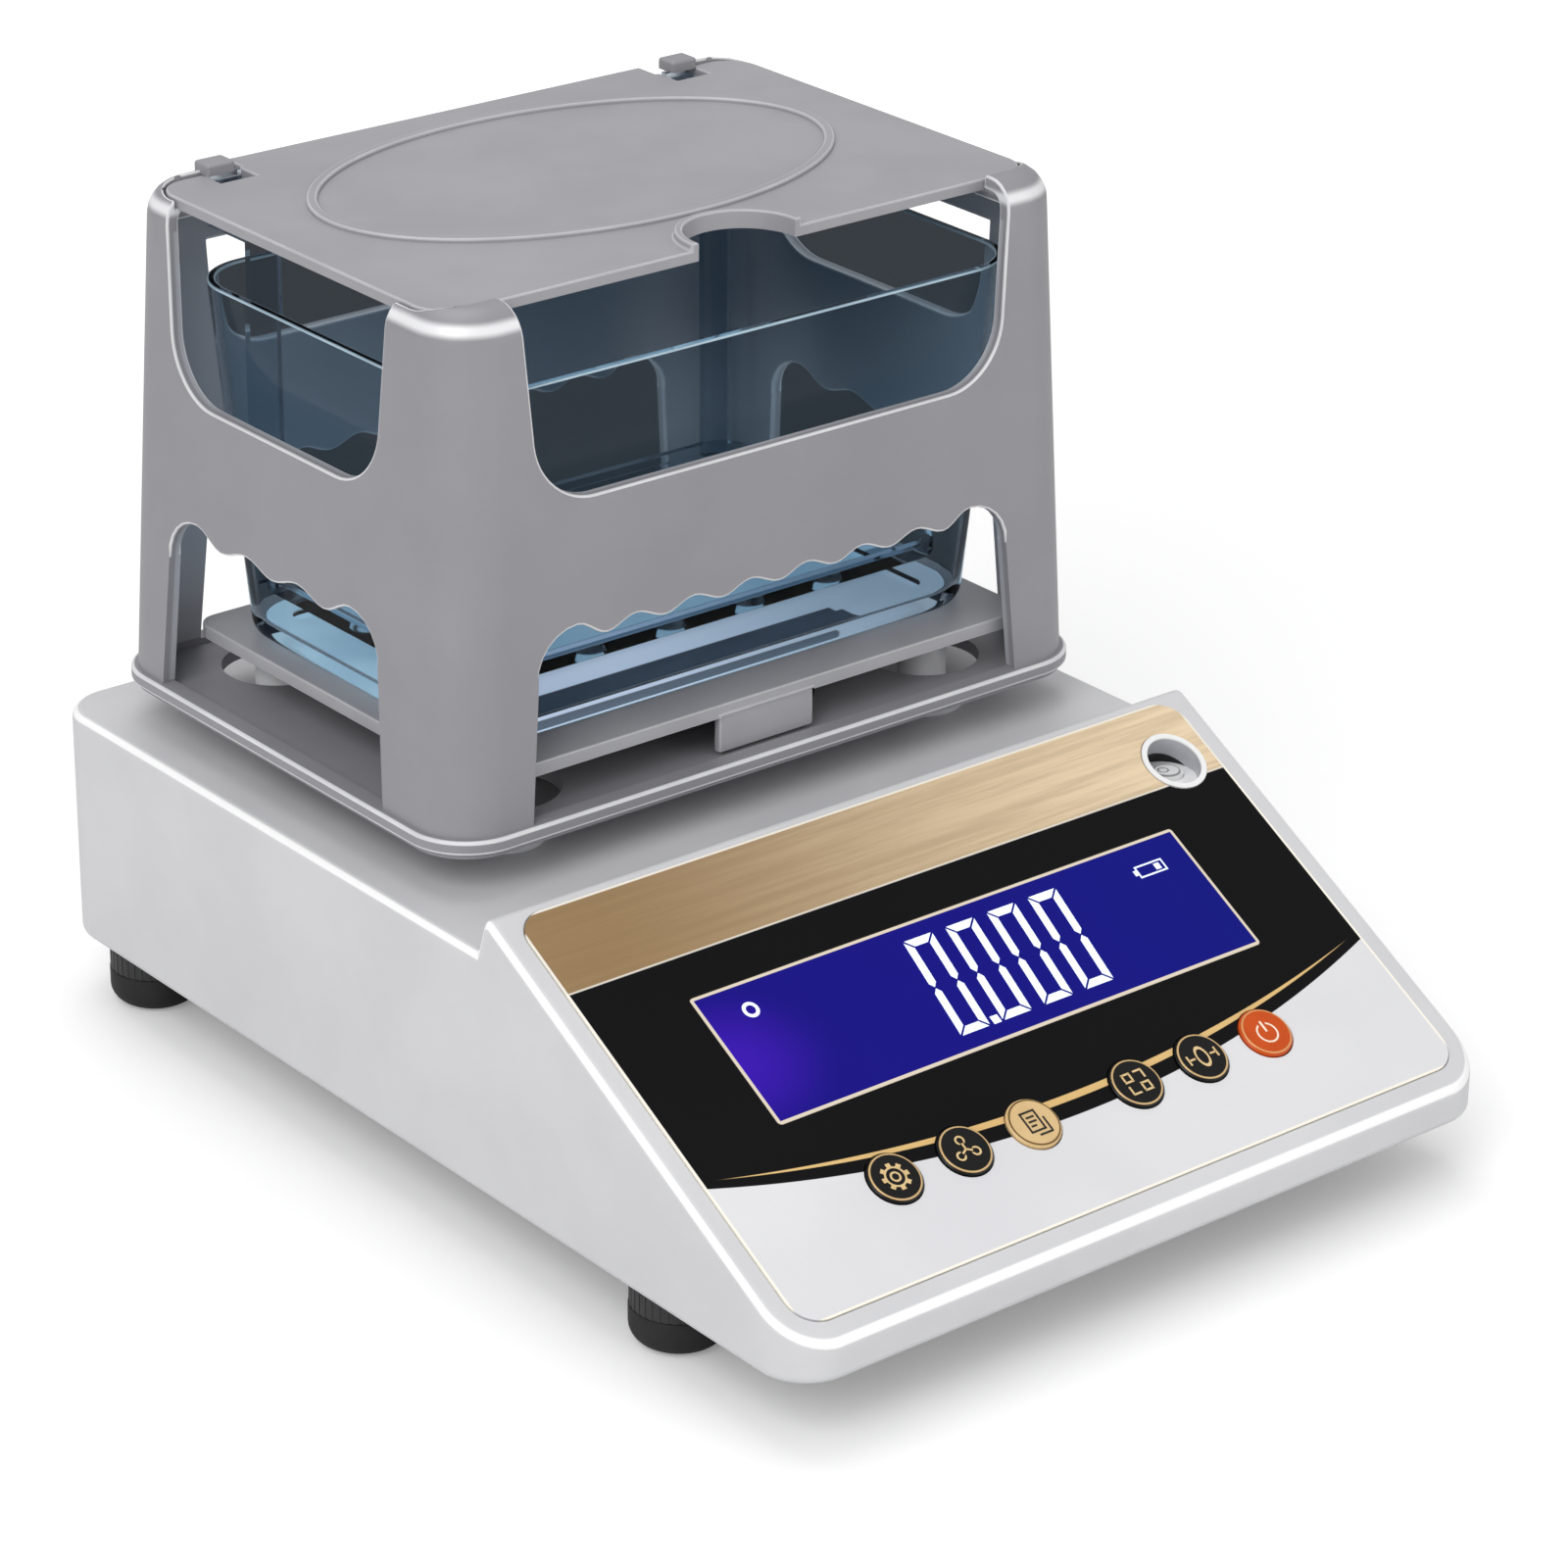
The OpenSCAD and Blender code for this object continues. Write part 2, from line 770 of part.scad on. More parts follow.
module data_port() {
    color([0.72, 0.72, 0.73])
        translate([data_x, back_y, port_z])
            rotate([90, 0, 180]) {
                difference() {
                    translate([-data_w / 2, -data_h / 2, -port_l])
                        cube([data_w, data_h, port_l - 0.2]);
                    // The face lies deeper than the rim round the contacts
                    translate([0, 0, -1])
                        linear_extrude(2)
                            difference() {
                                square([data_w - 1.2, data_h - 1.2], center = true);
                                data_outline(0.8);
                            }
                    translate([0, 0, -6])
                        linear_extrude(6 + cut)
                            data_outline();
                }
                // Rows of contacts, five over four
                for (i = [0:4])
                    translate([(i - 2) * 2.7, 1.4, -6.5])
                        cylinder(h = 5, r = 0.5, $fn = 24);
                for (i = [0:3])
                    translate([(i - 1.5) * 2.7, -1.4, -6.5])
                        cylinder(h = 5, r = 0.5, $fn = 24);
            }
}

// ---------- load cell and carrier ----------
module load_cell() {
    color([0.78, 0.78, 0.8])
        difference() {
            translate([-cell_w / 2, cell_front, cell_bottom])
                cube([cell_w, cell_l, cell_h]);
            // Twin round holes and the slot between them make the bending beam
            for (y = [-1, 1])
                translate([0, cell_front + cell_l / 2 + y * cell_l / 9, cell_bottom + cell_h / 2])
                    rotate([0, 90, 0])
                        cylinder(h = cell_w + 2 * cut, r = cell_hole_r, center = true, $fn = round_fn);
            translate([0, cell_front + cell_l / 2, cell_bottom + cell_h / 2])
                cube([cell_w + 2 * cut, cell_l / 4.5, cell_slot], center = true);
            for (y = bolt_ys)
                translate([0, y, cell_z - bolt_l])
                    cylinder(h = bolt_l + cut, r = bolt_r + turn_gap, $fn = round_fn);
            for (x = hub_bolt_xs)
                translate([x, frame_y, cell_z - hub_bolt_l])
                    cylinder(h = hub_bolt_l + cut, r = screw_r + turn_gap, $fn = round_fn);
        }
}

module cell_riser() {
    color([0.62, 0.63, 0.65])
        difference() {
            translate([-cell_w / 2, cell_front + cell_l - riser_l, cover_z])
                cube([cell_w, riser_l, cell_bottom - cover_z]);
            for (y = bolt_ys)
                translate([0, y, cell_z - bolt_l])
                    cylinder(h = bolt_l, r = bolt_r + turn_gap, $fn = round_fn);
        }
}

module cell_bolts() {
    color([0.3, 0.3, 0.32])
        for (y = bolt_ys)
            translate([0, y, cell_z])
                screw(bolt_l - cut, bolt_r, bolt_r * 1.7, bolt_head_t);
}

module pan_hub() {
    color([0.72, 0.73, 0.75])
        difference() {
            translate([0, frame_y, cell_z]) {
                cylinder(h = hub_flange_t, r = hub_flange_r, $fn = round_fn);
                cylinder(h = carrier_z - cell_z, r = hub_r - 1.5, $fn = round_fn);
            }
            for (x = hub_bolt_xs)
                translate([x, frame_y, cell_z - cut])
                    cylinder(h = hub_flange_t + 2 * cut, r = screw_r + turn_gap, $fn = round_fn);
        }
}

module hub_bolts() {
    color([0.3, 0.3, 0.32])
        for (x = hub_bolt_xs)
            translate([x, frame_y, cell_z + hub_flange_t])
                screw(hub_flange_t - 0.1, screw_r, 1.6, 1.2);
}

module pan_carrier() {
    color([0.72, 0.73, 0.75])
        translate([0, frame_y, carrier_z])
            linear_extrude(carrier_t) {
                circle(carrier_disc_r, $fn = round_fn);
                for (a = [0, 90])
                    rotate(a)
                        square([2 * (a == 0 ? arm_reach_x : arm_reach_y), carrier_arm_w], center = true);
                for (p = pad_points)
                    translate(p)
                        circle(carrier_arm_w / 2, $fn = round_fn);
            }
}

module carrier_pads() {
    color([0.12, 0.12, 0.12])
        for (p = pad_points)
            translate([p[0], frame_y + p[1], floor_z - pad_t])
                cylinder(h = pad_t, r = pad_r, $fn = round_fn);
}

// ---------- weighing frame ----------
// Half sizes of the walls' outside at height z
function half_w(z) = frame_w / 2 - lean * (z - rim_z);
function half_d(z) = frame_d / 2 - lean * (z - rim_z);

// A round post top with a rolled edge, its top at z = 0
module dome(r, edge) {
    rotate_extrude($fn = cast_fn)
        polygon(concat([[0, -edge], [0, 0]],
            [for (a = [90:-10:0]) [r - edge + edge * cos(a), -edge + edge * sin(a)]]));
}

// The leaning box with domed corners, grown inwards by t
module frame_body(t) {
    top = post_z - t;
    r = post_r - t;
    hull() {
        translate([0, 0, floor_z])
            linear_extrude(0.01)
                rounded(2 * (half_w(floor_z) - t), 2 * (half_d(floor_z) - t), r, $fn = cast_fn);
        for (x = [-1, 1], y = [-1, 1])
            translate([x * (half_w(top) - t - r), y * (half_d(top) - t - r), top])
                dome(r, dome_r - t);
    }
}

// Upper window: narrow at the sill, wide and open at the top
module upper_window(half_foot) {
    foot = half_foot - sill_in;
    head = half_foot - head_in;
    offset(r = sill_r, $fn = cast_fn)
        offset(delta = -sill_r)
            polygon([[-foot, sill_z], [foot, sill_z], [head, post_z], [head, post_z + 30],
                [-head, post_z + 30], [-head, post_z]]);
}

// The same under a rail, and open again above the rail
module railed_window(half_foot) {
    difference() {
        upper_window(half_foot);
        translate([-half_foot, header_z])
            square([2 * half_foot, header_h]);
    }
}

// Height of the scalloped edge at step i of n, ten steps to a scallop
function scallop_z(i, n) = arch_z - arch_rise - scallop
    + (scallop + (i < 5 || i > n - 5 ? arch_rise : 0)) * (1 + cos(i * 36)) / 2;

// Lower window: straight posts, an arch at each end, scallops between the arches
module lower_window(half_foot, count) {
    head = half_foot - window_taper;
    reach = head - arch_r;
    n = count * 10;
    waves = [for (i = [0:n]) [-reach + 2 * reach * i / n, scallop_z(i, n)]];
    left_arch = [for (a = [180:-15:105])
        [-reach + arch_r * cos(a), arch_z - arch_r + arch_r * sin(a)]];
    right_arch = [for (a = [75:-15:0])
        [reach + arch_r * cos(a), arch_z - arch_r + arch_r * sin(a)]];
    polygon(concat([[-half_foot, floor_top]], left_arch, waves, right_arch,
        [[half_foot, floor_top]]));
}

// Cuts a window shape through the front and back walls, or through both side walls
module through_walls(sides = false, from = -1, to = 1) {
    translate([0, sides ? side_shift : 0, 0])
        rotate([90, 0, sides ? 90 : 0])
            translate([0, 0, from * frame_w])
                linear_extrude((to - from) * frame_w)
                    children();
}

module weighing_frame() {
    window_x = frame_w / 2 - post_w;
    window_y = frame_d / 2 - post_side;
    color([0.58, 0.58, 0.6])
        translate([0, frame_y, 0])
            difference() {
                union() {
                    difference() {
                        frame_body(0);
                        difference() {
                            frame_body(frame_wall);
                            plate_seats();
                        }
                        // Front and left windows are open at the top, the others stop under a rail
                        through_walls(false, 0, 1)
                            upper_window(window_x);
                        through_walls(false, -1, 0)
                            railed_window(window_x);
                        through_walls(true, -1, 0)
                            upper_window(window_y);
                        through_walls(true, 0, 1)
                            railed_window(window_y);
                        through_walls(false)
                            lower_window(window_x, 7);
                        through_walls(true)
                            lower_window(window_y, 3);
                        plate_pocket();
                    }
                    translate([0, 0, floor_z])
                        round_plate(2 * half_w(floor_z) - frame_wall, 2 * half_d(floor_z) - frame_wall,
                            post_r - frame_wall / 2, frame_floor);
                    foot_rim();
                }
                for (x = [-1, 1], y = [-1, 1])
                    translate([x * pillar_x, y * pillar_y, floor_z - cut])
                        cylinder(h = frame_floor + 2 * cut, r = post_hole_r, $fn = round_fn);
            }
}

module foot_rim() {
    translate([0, 0, rim_z - rim_t])
        difference() {
            round_plate(frame_w + 2 * rim_out, frame_d + 2 * rim_out, post_r + rim_out, rim_t);
            translate([0, 0, -cut])
                round_plate(frame_w - 2 * frame_wall, frame_d - 2 * frame_wall, post_r - frame_wall,
                    rim_t + 2 * cut);
        }
}

// Ledges in the four posts that carry the plate's corners
module plate_seats() {
    for (x = [-1, 1], y = [-1, 1])
        translate([x * (half_w(plate_z) - seat_l / 2), y * (half_d(plate_z) - seat_l / 2),
            plate_z - seat_t / 2])
            cube([seat_l, seat_l, seat_t], center = true);
}

module plate_pocket() {
    translate([0, plate_y - frame_y, plate_z])
        round_plate(plate_w + 2 * plate_gap, plate_d + 2 * plate_gap, plate_r + plate_gap, post_h);
}

// ---------- top plate ----------
module oval(a, b) {
    scale([a, b])
        circle(1, $fn = 96);
}

module top_plate() {
    color([0.64, 0.64, 0.66])
        translate([0, plate_y, plate_z])
            difference() {
                union() {
                    round_plate(plate_w, plate_d, plate_r, plate_t);
                    translate([-tongue_w / 2, 0, 0])
                        cube([tongue_w, plate_d / 2 + tongue_d, plate_t]);
                    translate([0, oval_y, plate_t - 0.1])
                        linear_extrude(oval_h + 0.1)
                            difference() {
                                oval(oval_a, oval_b);
                                oval(oval_a - ring_w, oval_b - ring_w);
                            }
                    translate([0, -plate_d / 2 + notch_in, 0])
                        cylinder(h = plate_t + lip_rise, r = notch_r + lip_w, $fn = round_fn);
                }
                translate([0, -plate_d / 2 + notch_in, -cut])
                    cylinder(h = plate_t + lip_rise + 2 * cut, r = notch_r, $fn = round_fn);
                // The lip ends at the plate's front edge
                translate([-plate_w / 2, -plate_d / 2 - 2 * notch_r, -cut])
                    cube([plate_w, 2 * notch_r, plate_t + lip_rise + 2 * cut]);
                for (x = [-1, 1])
                    translate([x * arm_x - arm_w / 2 - slot_gap,
                        hook_y - plate_y - arm_t / 2 - slot_gap, -cut])
                        cube([arm_w + 2 * slot_gap, plate_d, 3 * plate_t]);
            }
}

// ---------- basket ----------
module water_basket() {
    color([0.7, 0.76, 0.8]) {
        translate([0, tray_back - tray_d / 2, tray_z]) {
            difference() {
                round_plate(tray_w, tray_d, tray_r, tray_lip);
                translate([0, 0, tray_t])
                    round_plate(tray_w - 2 * tray_t, tray_d - 2 * tray_t, tray_r - tray_t, tray_lip);
                for (x = [-2:2], y = [-1:1])
                    translate([x * tray_w / 6, y * tray_d / 4, -cut])
                        cylinder(h = tray_t + 2 * cut, r = tray_hole_r, $fn = 32);
            }
        }
        for (x = [-1, 1])
            translate([x * arm_x - arm_w / 2, 0, 0]) {
                translate([0, tray_back - arm_t, tray_z])
                    cube([arm_w, arm_t, step_z - tray_z]);
                // The arm steps back over the tank's rim, then rises through the plate
                translate([0, tray_back - arm_t, step_z - arm_t])
                    cube([arm_w, hook_y + arm_t / 2 - tray_back + arm_t, arm_t]);
                translate([0, hook_y - arm_t / 2, step_z - arm_t])
                    cube([arm_w, arm_t, plate_z + plate_t - step_z + arm_t + hook_t]);
                translate([arm_w / 2 - hook_w / 2, hook_y - hook_l / 2 + 1.5, plate_z + plate_t])
                    cube([hook_w, hook_l, hook_t]);
            }
    }
}

// ---------- tank and platform ----------
module platform_pillars() {
    color([0.85, 0.85, 0.86])
        for (x = [-1, 1], y = [-1, 1])
            translate([x * pillar_x, frame_y + y * pillar_y, deck_z]) {
                cylinder(h = platform_h - platform_t, r = pillar_r, $fn = round_fn);
                cylinder(h = pillar_flange_t, r = pillar_flange_r, $fn = round_fn);
                translate([0, 0, -wall])
                    cylinder(h = wall, r = pillar_pin_r, $fn = round_fn);
            }
}

module tank_platform() {
    color([0.55, 0.55, 0.57])
        translate([0, platform_y, platform_z - platform_t]) {
            round_plate(platform_w, platform_d, 5, platform_t);
            // Tab in the middle of the front edge
            translate([-tab_w / 2, -platform_d / 2, floor_top + 0.8 - platform_z + platform_t])
                cube([tab_w, tab_t, platform_z - platform_t - floor_top - 0.8 + 0.01]);
        }
}

// One solid of the tank, t thinner all round and starting at height z
module tank_body(t, z) {
    foot_w = tank_w / 2 - tank_lean;
    foot_d = tank_d / 2 - tank_lean;
    hull() {
        for (step = [[0, 3.5], [1, 1.4], [3.2, 0]])
            translate([0, 0, z + step[0]])
                linear_extrude(0.01)
                    rounded(2 * (foot_w - t - step[1]), 2 * (foot_d - t - step[1]),
                        tank_r - 4 - t, $fn = cast_fn);
        translate([0, 0, platform_z + tank_h - (t > 0 ? 0 : 0.01)])
            linear_extrude(t > 0 ? cut : 0.01)
                rounded(tank_w - 2 * t, tank_d - 2 * t, tank_r - t, $fn = cast_fn);
    }
}

module water_tank() {
    color([0.3, 0.42, 0.5, 0.6])
        translate([0, tank_y, 0])
            difference() {
                tank_body(0, platform_z);
                tank_body(tank_wall, platform_z + tank_floor);
                translate([0, 0, platform_z + tank_floor - pocket_t])
                    slab(tank_w - 2 * tank_lean - 20, tank_d - 2 * tank_lean - 20, 3, 2 * pocket_t);
            }
}

// ---------- feet ----------
module foot_pad(i) {
    translate([foot_points[i][0], foot_points[i][1], 0])
        difference() {
            union() {
                cylinder(h = pad_h - 1.5, r = foot_r, $fn = round_fn);
                cylinder(h = pad_h, r = foot_r - 1.2, $fn = round_fn);
            }
            translate([0, 0, pad_h - 4])
                cylinder(h = 4 + cut, r = stud_r + turn_gap, $fn = round_fn);
        }
}

// A knurled wheel on a threaded stud, turned by hand to level the balance
module foot_screw(i) {
    top = cover_z + foot_boss_h - 1;
    translate([foot_points[i][0], foot_points[i][1], 0]) {
        translate([0, 0, pad_h])
            difference() {
                cylinder(h = screw_wheel_h, r = foot_r - 0.8, $fn = round_fn);
                for (a = [0:20:340])
                    rotate(a)
                        translate([foot_r - 0.3, 0, -cut])
                            cylinder(h = screw_wheel_h + 2 * cut, r = 0.9, $fn = 24);
            }
        translate([0, 0, pad_h - 4 + turn_gap])
            cylinder(h = top - pad_h + 4, r = stud_r, $fn = round_fn);
    }
}

module foot_pad_front_left() {
    color([0.07, 0.07, 0.07])
        foot_pad(0);
}

module foot_pad_front_right() {
    color([0.07, 0.07, 0.07])
        foot_pad(1);
}

module foot_pad_rear_left() {
    color([0.07, 0.07, 0.07])
        foot_pad(2);
}

module foot_pad_rear_right() {
    color([0.07, 0.07, 0.07])
        foot_pad(3);
}

module foot_screw_front_left() {
    color([0.14, 0.14, 0.15])
        foot_screw(0);
}

module foot_screw_front_right() {
    color([0.14, 0.14, 0.15])
        foot_screw(1);
}

module foot_screw_rear_left() {
    color([0.14, 0.14, 0.15])
        foot_screw(2);
}

module foot_screw_rear_right() {
    color([0.14, 0.14, 0.15])
        foot_screw(3);
}

base_shell();
bottom_cover();
cover_screws();
panel_overlay();
display_lens();
display_module();
key_board();
board_screws();
key_switches();
key_settings();
key_function();
key_enter();
key_mode();
key_zero();
key_power();
level_bezel();
level_body();
level_vial();
main_board();
battery_pack();
dc_inlet();
data_port();
load_cell();
cell_riser();
cell_bolts();
pan_hub();
hub_bolts();
pan_carrier();
carrier_pads();
weighing_frame();
top_plate();
water_basket();
platform_pillars();
tank_platform();
water_tank();
foot_pad_front_left();
foot_pad_front_right();
foot_pad_rear_left();
foot_pad_rear_right();
foot_screw_front_left();
foot_screw_front_right();
foot_screw_rear_left();
foot_screw_rear_right();
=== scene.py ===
import math

import bpy
from mathutils import Matrix, Vector


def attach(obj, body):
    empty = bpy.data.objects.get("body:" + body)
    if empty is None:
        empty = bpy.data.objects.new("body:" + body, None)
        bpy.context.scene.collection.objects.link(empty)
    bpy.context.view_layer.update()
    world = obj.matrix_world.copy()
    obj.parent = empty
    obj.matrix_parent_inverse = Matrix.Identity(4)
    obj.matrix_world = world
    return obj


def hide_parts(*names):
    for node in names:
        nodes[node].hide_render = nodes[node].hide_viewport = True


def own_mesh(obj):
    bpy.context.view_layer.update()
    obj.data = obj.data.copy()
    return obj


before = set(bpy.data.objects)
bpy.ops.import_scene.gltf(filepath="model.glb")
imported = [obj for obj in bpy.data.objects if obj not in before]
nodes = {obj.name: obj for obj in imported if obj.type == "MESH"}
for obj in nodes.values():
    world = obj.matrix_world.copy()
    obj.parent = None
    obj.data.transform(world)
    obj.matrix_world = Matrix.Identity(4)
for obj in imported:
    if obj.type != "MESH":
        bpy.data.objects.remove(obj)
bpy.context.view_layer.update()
print("frame loaded with", len(nodes), "nodes")

# lengths typed in this file are millimetres, the scene itself is in metres
mm = 0.001

# the sloped panel: its back edge and how it leans
panel = {"y": -31.5, "z": 80.4, "slope": 28.94}


def around(turn, radius=1.0):
    # the point of a circle at an angle in degrees
    return radius * math.cos(math.radians(turn)), radius * math.sin(math.radians(turn))


leanCos, leanSin = around(panel["slope"])


# modelling steps that are used again and again

def edit(on=True):
    bpy.ops.object.mode_set(mode="EDIT" if on else "OBJECT")


def hold(obj):
    if bpy.context.object and bpy.context.object.mode != "OBJECT":
        edit(False)
    bpy.ops.object.select_all(action="DESELECT")
    if obj:
        obj.select_set(True)
        bpy.context.view_layer.objects.active = obj


def settle(obj):
    hold(obj)
    bpy.ops.object.transform_apply(location=True, rotation=True, scale=True)
    return obj


def named(obj, name):
    obj.name = obj.data.name = name
    return obj


def addBox(name, low, high):
    hold(None)
    middle = [(a + b) / 2 * mm for a, b in zip(low, high)]
    bpy.ops.mesh.primitive_cube_add(size=1, location=middle)
    obj = named(bpy.context.object, name)
    obj.scale = [(b - a) * mm for a, b in zip(low, high)]
    return settle(obj)


def addRod(name, x, y, radius, low, high, sides=48):
    hold(None)
    bpy.ops.mesh.primitive_cylinder_add(vertices=sides, radius=radius * mm, depth=(high - low) * mm,
                                        location=(x * mm, y * mm, (low + high) / 2 * mm))
    return settle(named(bpy.context.object, name))


def addRing(name, x, y, z, radius, thick, squash, across=48, through=10):
    hold(None)
    bpy.ops.mesh.primitive_torus_add(major_radius=radius * mm, minor_radius=thick * mm,
                                     major_segments=across, minor_segments=through,
                                     location=(x * mm, y * mm, z * mm))
    obj = named(bpy.context.object, name)
    obj.scale = (1, 1, squash)
    return settle(obj)


def addOutline(name, points, low, high, upright=True):
    # a drawn outline given some depth: upright ones lie in x and z, flat ones in x and y
    hold(None)
    bpy.ops.mesh.primitive_circle_add(vertices=len(points), radius=1, fill_type="NGON")
    obj = named(bpy.context.object, name)
    for vert, (a, b) in zip(obj.data.vertices, points):
        vert.co = (a * mm, low * mm, b * mm) if upright else (a * mm, b * mm, low * mm)
    depth = (high - low) * mm
    edit()
    bpy.ops.mesh.select_all(action="SELECT")
    bpy.ops.mesh.extrude_region_move(
        TRANSFORM_OT_translate={"value": (0, depth, 0) if upright else (0, 0, depth)})
    bpy.ops.mesh.select_all(action="SELECT")
    bpy.ops.mesh.normals_make_consistent(inside=False)
    edit(False)
    return obj


def unpick(obj, kind):
    hold(obj)
    edit()
    bpy.ops.mesh.select_mode(type=kind)
    bpy.ops.mesh.select_all(action="DESELECT")


def endsOf(edge, mesh):
    return [mesh.vertices[i].co / mm for i in edge.vertices]


def pick(obj, kind, test):
    # leaves the object in edit mode with the edges or faces chosen by place selected
    unpick(obj, kind)
    edit(False)
    if kind == "EDGE":
        for edge in obj.data.edges:
            edge.select = test(*endsOf(edge, obj.data))
    else:
        for face in obj.data.polygons:
            face.select = test(face.center / mm, face.normal)
    edit()


def roundPicked(width, steps, finish, clamp):
    # finish is the material slot that the new faces get, -1 for that of their neighbours
    bpy.ops.mesh.bevel(offset=width * mm, offset_type="OFFSET", segments=steps, profile=0.5,
                       clamp_overlap=clamp, material=finish)
    edit(False)


def roundEdges(obj, test, width, steps=4, finish=-1):
    pick(obj, "EDGE", test)
    roundPicked(width, steps, finish, False)
    return obj


def roundSharp(obj, width, steps=3, angle=30, keep=None, finish=-1, clamp=True):
    # rounds what meets at a sharp angle, apart from what keep() rules out
    unpick(obj, "EDGE")
    bpy.ops.mesh.edges_select_sharp(sharpness=math.radians(angle))
    edit(False)
    if keep:
        for edge in obj.data.edges:
            edge.select = edge.select and keep(*endsOf(edge, obj.data))
    edit()
    roundPicked(width, steps, finish, clamp)


def upright(a, b):
    # an edge that runs much more up than sideways
    return abs(a.z - b.z) > 3 * (Vector((a.x, a.y)) - Vector((b.x, b.y))).length


def above(level):
    return lambda a, b: min(a.z, b.z) > level


def below(level):
    return lambda a, b: max(a.z, b.z) < level


def addBlock(name, low, high, corner, steps):
    # a box with its upright edges rounded
    return roundEdges(addBox(name, low, high), upright, corner, steps)


def taperedBox(name, foot, head, low, high, corner, steps):
    # foot and head are half the width and depth at the lower and upper end
    x, y = foot
    box = addBox(name, (-x, -y, low), (x, y, high))
    pick(box, "FACE", lambda middle, normal: normal.z > 0.9)
    bpy.ops.transform.resize(value=(head[0] / x, head[1] / y, 1))
    edit(False)
    return roundEdges(box, upright, corner, steps)


def carve(obj, *tools, how="DIFFERENCE"):
    for tool in tools:
        hold(obj)
        change = obj.modifiers.new("carve", "BOOLEAN")
        change.operation = how
        change.solver = "EXACT"
        change.object = tool
        bpy.ops.object.modifier_apply(modifier=change.name)
        bpy.data.objects.remove(tool, do_unlink=True)
    return obj


def merge(obj, *others):
    hold(obj)
    for other in others:
        other.select_set(True)
    bpy.ops.object.join()
    return obj


def addSlots(obj, count):
    # empty places for finishes, so that rounded edges can have their own painted highlight
    for i in range(count):
        obj.data.materials.append(None)


def soften(obj, angle=32):
    # smooth where the faces meet at a small angle, with the flat faces left flat
    hold(obj)
    bpy.ops.object.shade_smooth_by_angle(angle=math.radians(angle))
    even = obj.modifiers.new("even", "WEIGHTED_NORMAL")
    even.keep_sharp = True
    bpy.ops.object.modifier_apply(modifier=even.name)
    return obj


def layOnPanel(obj):
    # from flat (x, up the slope, out of the panel) to its place on the housing
    hold(obj)
    obj.rotation_euler = (math.radians(panel["slope"]), 0, 0)
    obj.location = (0, panel["y"] * mm, panel["z"] * mm)
    return settle(obj)


def copyOf(obj, name):
    hold(obj)
    bpy.ops.object.duplicate(linked=False)
    return named(bpy.context.object, name)


def shift(obj, x=0, y=0, z=0, turn=0):
    obj.location = (x * mm, y * mm, z * mm)
    obj.rotation_euler = (0, 0, math.radians(turn))
    return settle(obj)


# shaders

def tone(red, green, blue):
    # an on-screen colour as a linear one
    def linear(value):
        value = value / 255
        return value / 12.92 if value <= 0.04045 else ((value + 0.055) / 1.055) ** 2.4
    return (linear(red), linear(green), linear(blue), 1)


class Wire:
    # a socket that can be calculated with
    def __init__(self, sheet, socket):
        self.sheet, self.socket = sheet, socket

    def math(self, operation, *values):
        return self.sheet.node("ShaderNodeMath", {"operation": operation}, dict(enumerate(values)))

    def __add__(self, other):
        return self.math("ADD", self, other)

    def __sub__(self, other):
        return self.math("SUBTRACT", self, other)

    def __mul__(self, other):
        return self.math("MULTIPLY", self, other)

    def __truediv__(self, other):
        return self.math("DIVIDE", self, other)

    def __radd__(self, other):
        return self.math("ADD", other, self)

    def __rsub__(self, other):
        return self.math("SUBTRACT", other, self)

    def __rmul__(self, other):
        return self.math("MULTIPLY", other, self)

    def __abs__(self):
        return self.math("ABSOLUTE", self)

    def root(self):
        return self.math("SQRT", self)

    def most(self, other):
        return self.math("MAXIMUM", self, other)

    def rise(self, low, high):
        # 0 below low, 1 above high, smooth between
        return self.sheet.node("ShaderNodeMapRange", {"interpolation_type": "SMOOTHSTEP"},
                               {0: self, 1: low, 2: high, 3: 0, 4: 1})

    def step(self, at, blur):
        # 0 before a place and 1 behind it
        return (self - at).rise(-blur, blur)


def lengthOf(x, y):
    return (x * x + y * y).root()


